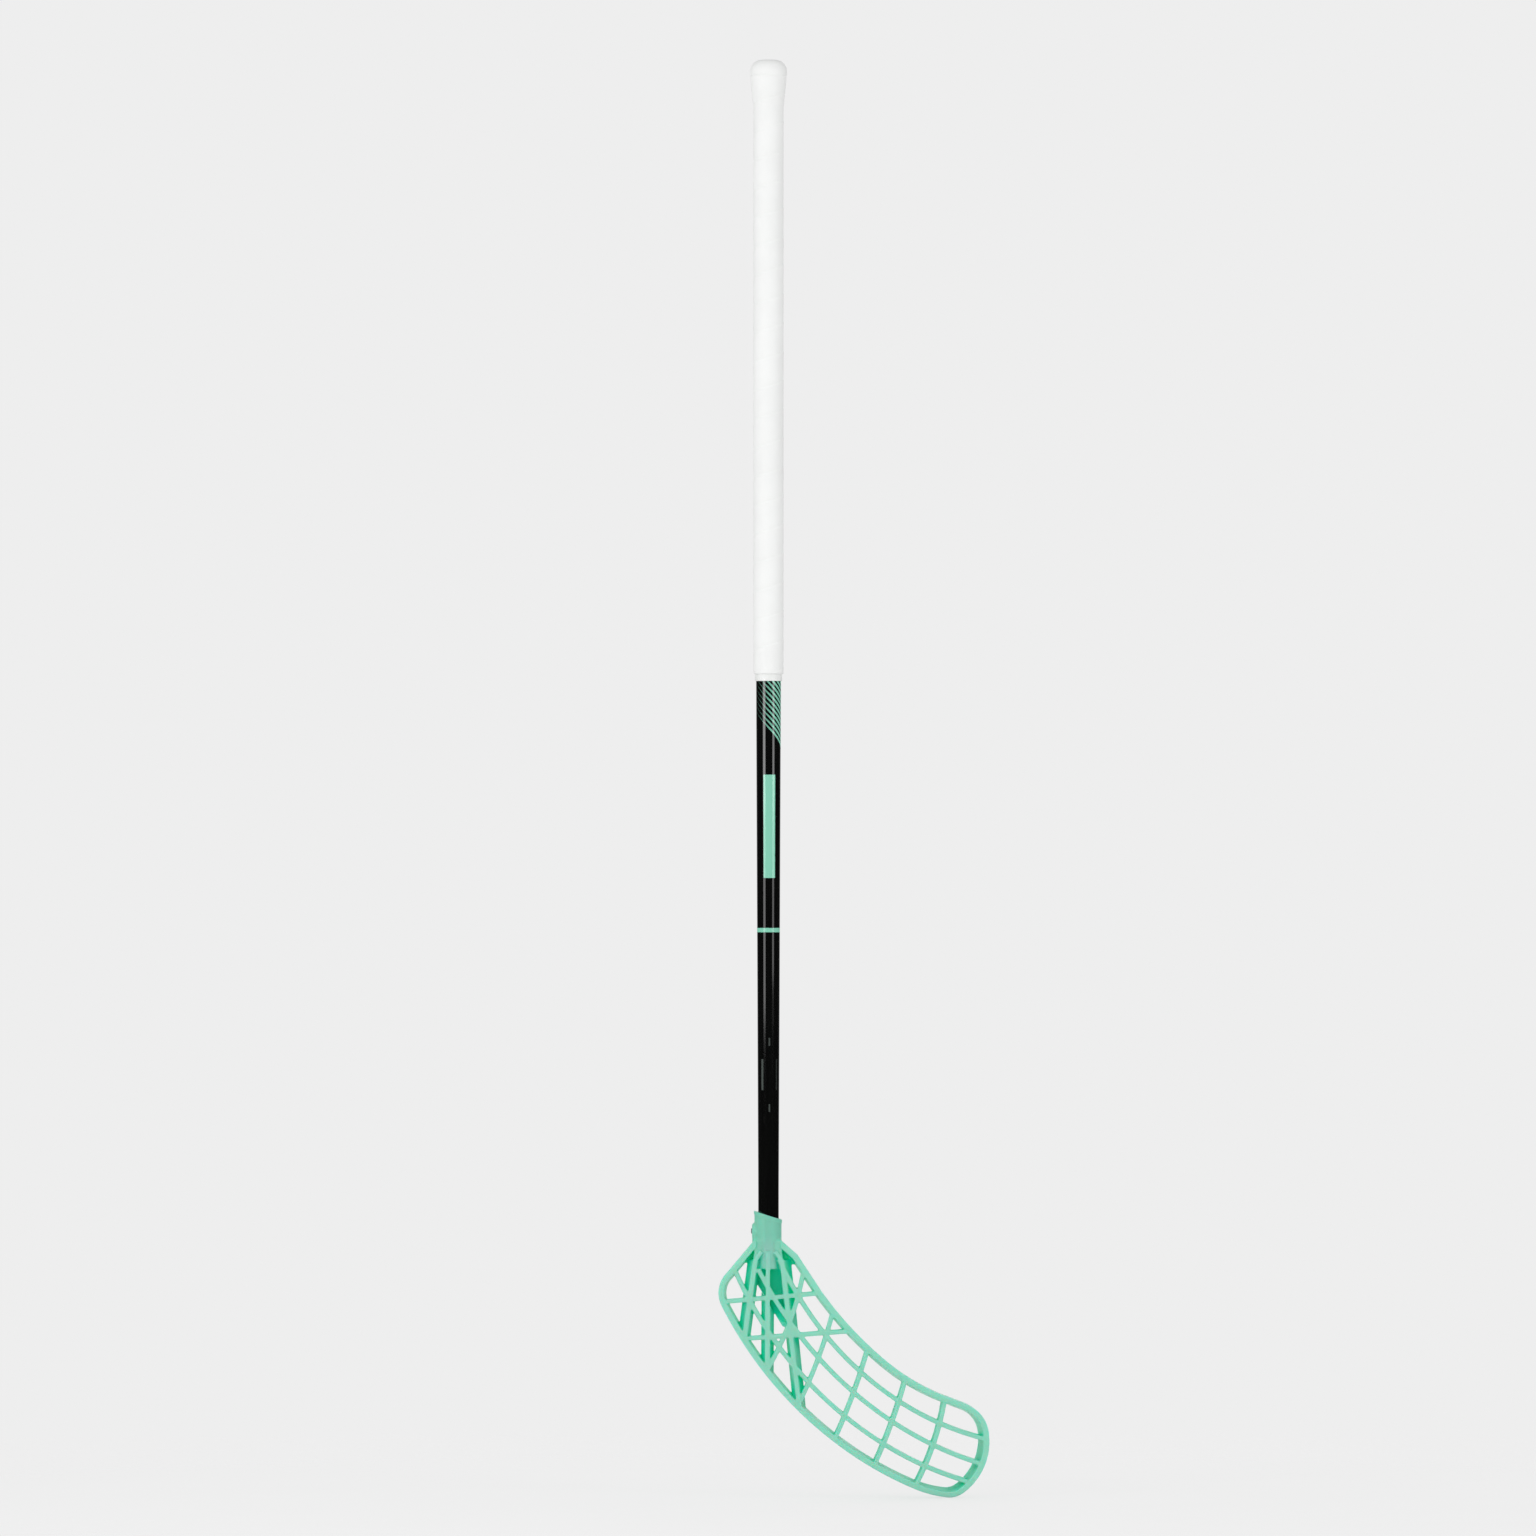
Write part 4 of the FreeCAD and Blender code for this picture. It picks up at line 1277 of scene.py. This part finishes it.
@dataclass
class Blade(SubAssembly):
    """The moulded blade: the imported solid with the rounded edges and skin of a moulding.

    A cheek fills each corner between the socket and the rim. Its sections run from the top down:
    height from the neck, outer reach and its depth, inner reach and its depth, in millimetres.
    A plug fills the pit where a deep rib crosses two lattice ribs.
    """

    slot: ClassVar[Slot] = Slot.BLADE
    node: ClassVar[str] = "blade"

    neck: float = -885.0 * MM
    wall_radius: float = 9.4 * MM
    cheek_back: float = 3.0 * MM
    heel_cheek: Sections = (
        (6.0, 11.4, 4.3, 4.6, 9.1),
        (0.2, 11.8, 9.9, 4.6, 9.2),
        (-6.4, 10.7, 10.0, 4.8, 9.2),
        (-13.4, 12.4, 10.0, 8.6, 9.2),
    )
    toe_cheek: Sections = (
        (4.0, 9.6, 3.9, 4.6, 9.1),
        (0.2, 10.2, 9.9, 4.6, 9.2),
        (-6.9, 10.4, 10.0, 4.4, 9.2),
        (-13.2, 11.6, 10.0, 8.6, 9.2),
    )
    plug_place: Span = (20.3 * MM, -958.1 * MM)
    plug_radius: float = 1.5 * MM
    plug_depths: Span = (10.7 * MM, 6.0 * MM)
    plug_segments: int = 16
    weld: float = 0.001 * MM
    voxel: float = 0.5 * MM
    smooth_factor: float = 0.5
    smooth_rounds: int = 5
    kept_share: float = 0.25
    finish: MouldingFinish = MouldingFinish()

    def cheek(self, shape: Shape, sections: Sections, side: float) -> None:
        """Fill the corner between the socket and the rim on one side.

        Args:
            shape: The bmesh that takes the closed cheek.
            sections: The cheek's sections from the top down.
            side: 1 at the toe's side and -1 at the heel's.
        """
        back = self.cheek_back
        wall_reach = math.sqrt(self.wall_radius ** 2 - back ** 2)
        loops = []
        for section in sections:
            rise, outer, outer_depth, inner, inner_depth = [value * MM for value in section]
            wall_depth = math.sqrt(self.wall_radius ** 2 - inner ** 2)
            front = [(outer, outer_depth), (inner, inner_depth)]
            wall = [(inner, wall_depth), (wall_reach, back), (outer, back)]
            loops.append([shape.verts.new((side * x, -y, self.neck + rise)) for x, y in front + wall])
        skin_loops(shape, loops, Ends.CAPPED)

    def crossing_plug(self, shape: Shape) -> None:
        """Fill the pit where a deep rib crosses two lattice ribs.

        Args:
            shape: The bmesh that takes the closed plug.
        """
        near, far = self.plug_depths
        middle = Matrix.Translation((self.plug_place[0], -(near + far) / 2.0, self.plug_place[1]))
        bmesh.ops.create_cone(
            shape,
            cap_ends=True,
            segments=self.plug_segments,
            radius1=self.plug_radius,
            radius2=self.plug_radius,
            depth=near - far,
            matrix=middle @ Matrix.Rotation(QUARTER_TURN, 4, "X"),
        )

    def solid(self) -> bpy.types.Mesh:
        """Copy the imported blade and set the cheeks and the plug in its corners.

        Returns:
            The mesh, with the cheeks and the plug as closed shells that overlap it.
        """
        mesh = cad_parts[self.node].data.copy()
        fillings = bmesh.new()
        self.cheek(fillings, self.heel_cheek, -1.0)
        self.cheek(fillings, self.toe_cheek, 1.0)
        self.crossing_plug(fillings)
        bmesh.ops.recalc_face_normals(fillings, faces=fillings.faces)
        fillings.from_mesh(mesh)
        fillings.to_mesh(mesh)
        fillings.free()
        return mesh

    def build(self) -> list[Piece]:
        """Build the moulding: one even skin over the solid, with eased edges.

        Returns:
            The moulding alone.
        """
        moulding = linked("blade_lattice_moulding", self.solid())
        modify(moulding, "join_faces", "WELD", merge_threshold=self.weld)
        modify(moulding, "even_skin", "REMESH", mode="VOXEL", voxel_size=self.voxel, use_smooth_shade=True)
        modify(moulding, "ease_edges", "SMOOTH", factor=self.smooth_factor, iterations=self.smooth_rounds)
        modify(moulding, "fewer_faces", "DECIMATE", ratio=self.kept_share)
        modify(moulding, "even_light", "WEIGHTED_NORMAL")
        bake_modifiers(moulding)
        return [moulding]


@dataclass
class BladeScrew(SubAssembly):
    """The screw in the heel side of the socket, with a cross recess in its head.

    It is turned upright, with the top of its head at height 0, and then laid in its place.
    """

    slot: ClassVar[Slot] = Slot.SCREW
    node: ClassVar[str] = "blade_screw"

    head_height: float = 0.75 * MM
    head_radius: float = 2.1 * MM
    head_round: float = 0.5 * MM
    head_steps: int = 8
    shank_radius: float = 1.5 * MM
    shank_steps: int = 48
    segments: int = 48
    thread_start: float = 0.3 * MM
    thread_pitch: float = 1.2 * MM
    thread_rise: float = 0.25 * MM
    point: float = 1.6 * MM
    point_radius: float = 0.3 * MM
    recess_length: float = 2.5 * MM
    recess_width: float = 0.6 * MM
    recess_depth: float = 0.6 * MM
    weld: float = 0.002 * MM
    crease: float = 35.0
    finish: SteelFinish = SteelFinish()
    length: float = field(init=False)
    place: Point = field(init=False)

    def __post_init__(self) -> None:
        """Take the screw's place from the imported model."""
        low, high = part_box(self.node)
        self.length = high[0] - low[0]
        self.place = (low[0], (low[1] + high[1]) / 2.0, (low[2] + high[2]) / 2.0)

    def thread(self, radius: float, turn: float, height: float) -> float:
        """Give the rise of the thread on the shank.

        Args:
            radius: Radius of the point before the rise.
            turn: Turn of the point in radians.
            height: Height of the point, from the head's top down.

        Returns:
            The rise in metres; none on the head and the point.
        """
        if height > -self.head_height - self.thread_start or radius < self.shank_radius:
            return 0.0
        wave = math.cos(FULL_TURN * height / self.thread_pitch + turn)
        return -self.thread_rise * (1.0 - wave) / 2.0

    def outline(self) -> Outline:
        """List the screw's section from the middle of its head down to its point.

        Returns:
            The points (radius, height).
        """
        seat = -self.head_height
        tip = -self.length
        corner = (self.head_radius - self.head_round, -self.head_round)
        crown = [(0.0, 0.0)] + arc(corner, self.head_round, UP, OUTWARD, self.head_steps)
        neck = [(self.head_radius, seat), (self.shank_radius, seat)]
        step = (tip + self.point - seat) / self.shank_steps
        shank = [(self.shank_radius, seat + step * k) for k in range(1, self.shank_steps + 1)]
        return crown + neck + shank + [(self.point_radius, tip), (0.0, tip)]

    def recess(self) -> Piece:
        """Build the cross that cuts the recess, in millimetres.

        Returns:
            The cross, which stands half above the top of the head.
        """
        reach = self.recess_length / MM / 2.0
        half = self.recess_width / MM / 2.0
        depth = self.recess_depth / MM
        arm = [(reach, -half), (reach, half), (half, half)]
        shape = bmesh.new()
        loops = []
        for height in (-depth, depth):
            loop = []
            for quarter in range(4):
                turned = Matrix.Rotation(QUARTER_TURN * quarter, 3, "Z")
                loop += [shape.verts.new(turned @ Vector((x, y, height))) for x, y in arm]
            loops.append(loop)
        skin_loops(shape, loops, Ends.CAPPED)
        return smooth_object("screw_recess_tool", shape)

    def build(self) -> list[Piece]:
        """Build the screw; its recess is cut in millimetres, which suits the cut's own tolerance.

        Returns:
            The screw alone.
        """
        screw = turned_piece("blade_screw_turned", self.outline(), self.segments, self.thread)
        screw.data.transform(Matrix.Scale(1.0 / MM, 4))
        tool = self.recess()
        modify(screw, "cross_recess", "BOOLEAN", operation="DIFFERENCE", object=tool)
        bake_modifiers(screw)
        bpy.data.objects.remove(tool)
        lay = Matrix.Rotation(-QUARTER_TURN, 4, "Y") @ Matrix.Scale(MM, 4)
        screw.data.transform(Matrix.Translation(self.place) @ lay)
        join_doubles(screw.data, self.weld)
        screw.data.set_sharp_from_angle(angle=math.radians(self.crease))
        return [screw]


@dataclass(frozen=True)
class Softbox:
    """A tall soft lamp that faces the shaft.

    Attributes:
        name: Name of the lamp.
        azimuth: Turn round the shaft in degrees.
        spread: Degrees of that turn that the lamp's width takes up.
        foot: Height of its lower edge.
        head: Height of its upper edge.
        radiance: How bright its face is.
        mirrored: Whether gloss shows it.
        distance: Distance from the shaft.
    """

    name: str
    azimuth: float
    spread: float
    foot: float
    head: float
    radiance: float
    mirrored: bool = True
    distance: float = 2.2

    def build(self) -> None:
        """Hang the lamp and aim it at the shaft."""
        width = 2.0 * self.distance * math.tan(math.radians(self.spread) / 2.0)
        height = self.head - self.foot
        middle = (self.foot + self.head) / 2.0
        lamp = bpy.data.lights.new(self.name, "AREA")
        lamp.shape = "RECTANGLE"
        lamp.size, lamp.size_y = width, height
        lamp.energy = self.radiance * math.pi * width * height
        hung = linked(self.name, lamp)
        hung.location = round_the_axis(self.distance, math.radians(self.azimuth), middle)
        aim = Vector((0.0, 0.0, middle)) - Vector(hung.location)
        hung.rotation_mode = "QUATERNION"
        hung.rotation_quaternion = aim.to_track_quat("-Z", "Y")
        hung.visible_camera = False
        hung.visible_glossy = self.mirrored


@dataclass
class Studio:
    """The pale floor, the soft light and the camera.

    Attributes:
        pale: Colour of the surround.
        ambient: Strength of the surround's light on the stick.
        room_gloss: Strength of the room that gloss reflects from the viewer's side.
        room_depths: How far to the back a reflection points where the room turns into the surround.
        floor_centre: Place of the floor's middle towards the toe.
        floor_drop: Gap between the floor and the blade's lowest point.
        floor_fade: Radii between which the floor grows clear.
        floor_greys: Lowest and highest grey of the floor's mottle.
        floor_glow: Light that the floor adds where it is seen.
        bounce_grey: Grey of the floor where it only lights the stick.
        frame_width: Width of the photograph's frame at the stick.
        frame_centre: Middle of that frame as (x, z).
    """

    pale: Colour = display_colour(238, 238, 238)
    ambient: float = 0.87
    room_gloss: float = 0.02
    room_depths: Span = (0.75, 0.98)
    floor_radius: float = 1.3
    floor_centre: float = 0.04
    floor_drop: float = 0.2 * MM
    floor_fade: Span = (0.35, 1.274)
    floor_greys: Span = (0.245, 0.25)
    floor_mottle: Grain = Grain(6.0, 3.0)
    mottle_span: Span = (0.3, 0.7)
    floor_glow: float = 0.64
    bounce_grey: float = 0.75
    camera_distance: float = 12.0
    camera_clip: Span = (0.05, 60.0)
    frame_width: float = 1.2288
    frame_centre: Span = (-0.0004, -0.5068)
    lamps: tuple[Softbox, ...] = (
        Softbox("left_softbox", azimuth=-41.5, spread=21.5, foot=-0.765, head=0.62, radiance=1.85),
        Softbox("right_softbox", azimuth=47.0, spread=18.0, foot=-0.725, head=0.62, radiance=1.4),
        Softbox(
            "left_strip_lamp",
            azimuth=-41.5, spread=25.0, foot=-0.57, head=-0.30, radiance=1.65, distance=2.15,
        ),
        Softbox(
            "right_strip_lamp",
            azimuth=48.0, spread=20.0, foot=-0.57, head=-0.30, radiance=1.15, distance=2.15,
        ),
        Softbox(
            "fill_softbox",
            azimuth=-22.0, spread=40.0, foot=-0.90, head=0.60, radiance=0.66, mirrored=False,
        ),
        Softbox(
            "back_softbox",
            azimuth=172.0, spread=36.0, foot=-0.90, head=0.50, radiance=1.1, mirrored=False,
        ),
    )

    def camera(self) -> None:
        """Set the camera square to the stick, at the photograph's height."""
        data = bpy.data.cameras.new("photograph_camera")
        data.sensor_fit = "HORIZONTAL"
        data.angle = 2.0 * math.atan(self.frame_width / 2.0 / self.camera_distance)
        data.clip_start, data.clip_end = self.camera_clip
        camera = linked("photograph_camera", data)
        camera.location = (self.frame_centre[0], -self.camera_distance, self.frame_centre[1])
        camera.rotation_euler = (QUARTER_TURN, 0.0, 0.0)
        bpy.context.scene.camera = camera

    def world(self) -> None:
        """Make a pale surround, with the dim room on the viewer's side that gloss reflects."""
        world = bpy.data.worlds.new("pale_surround")
        world.use_nodes = True
        world.node_tree.nodes.clear()
        bpy.context.scene.world = world
        nodes = Nodes(world.node_tree)
        path = nodes.add("ShaderNodeLightPath").outputs
        place = nodes.add("ShaderNodeTexCoord").outputs["Generated"]
        depth = nodes.add("ShaderNodeSeparateXYZ", {"Vector": place}).outputs["Y"]
        room = nodes.mapped(depth, self.room_depths, (self.room_gloss, 1.0), Way.EASED)
        shown, soft, mirrored = [
            nodes.add("ShaderNodeBackground", {"Color": self.pale, "Strength": strength}).outputs[0]
            for strength in (1.0, self.ambient, room)
        ]
        unseen = nodes.mixed(path["Is Glossy Ray"], soft, mirrored)
        seen = nodes.largest(path["Is Camera Ray"], path["Is Transmission Ray"])
        nodes.add("ShaderNodeOutputWorld", {"Surface": nodes.mixed(seen, unseen, shown)})

    def floor_finish(self) -> bpy.types.Material:
        """Build the floor's finish: pale, with the object's shadow, and clear towards its edge.

        Returns:
            The material.
        """
        shader = Shader("pale_floor")
        shader.tree.nodes.remove(shader.surface)
        path = shader.add("ShaderNodeLightPath").outputs
        greys = [grey(level) for level in self.floor_greys]
        mottle = shader.ramp(shader.noise(self.floor_mottle), self.mottle_span, greys)
        matt = shader.add("ShaderNodeBsdfDiffuse", {"Color": mottle}).outputs[0]
        shining = {"Color": grey(1.0), "Strength": self.floor_glow}
        glow = shader.add("ShaderNodeEmission", shining).outputs[0]
        lit = shader.add("ShaderNodeAddShader", {0: matt, 1: glow}).outputs[0]
        bounce = shader.add("ShaderNodeBsdfDiffuse", {"Color": grey(self.bounce_grey)}).outputs[0]
        seen = shader.largest(*[path[f"Is {kind} Ray"] for kind in ("Camera", "Glossy", "Transmission")])
        distance = shader.add("ShaderNodeVectorMath", {"Vector": shader.place}, operation="LENGTH")
        edge = shader.mapped(distance.outputs["Value"], self.floor_fade, way=Way.EASED)
        clear = shader.add("ShaderNodeBsdfTransparent").outputs[0]
        faded = shader.mixed(edge, shader.mixed(seen, bounce, lit), clear)
        shader.feed(shader.output, {"Surface": faded})
        return shader.material

    def floor(self) -> None:
        """Lay the floor under the blade's lowest point."""
        shape = bmesh.new()
        bmesh.ops.create_circle(shape, cap_ends=True, segments=ROUND_SEGMENTS, radius=self.floor_radius)
        floor = smooth_object("pale_floor", shape)
        floor.location = (self.floor_centre, 0.0, CAD_BOX[0][2] - self.floor_drop)
        coat(floor, self.floor_finish())

    def build(self) -> None:
        """Build the whole studio."""
        bpy.context.scene.view_settings.view_transform = "Standard"
        self.camera()
        self.world()
        self.floor()
        for lamp in self.lamps:
            lamp.build()


def main() -> None:
    """Build the studio and the stick's sub-assemblies in order, and report each piece."""
    logging.basicConfig(level=logging.INFO, format="%(name)s: %(message)s")
    Studio().build()
    shaft = Shaft()
    assemblies: list[SubAssembly] = [
        shaft,
        TubePrint(shaft),
        ButtCap(shaft),
        GripWrap(shaft),
        FinishingTape(shaft),
        Blade(),
        BladeScrew(),
    ]
    for assembly in assemblies:
        pieces = assembly.build()
        assembly.dress(pieces)
        for piece in pieces:
            LOG.info("%s, %d faces", piece.name, len(piece.data.polygons))


if __name__ == "__main__":
    main()
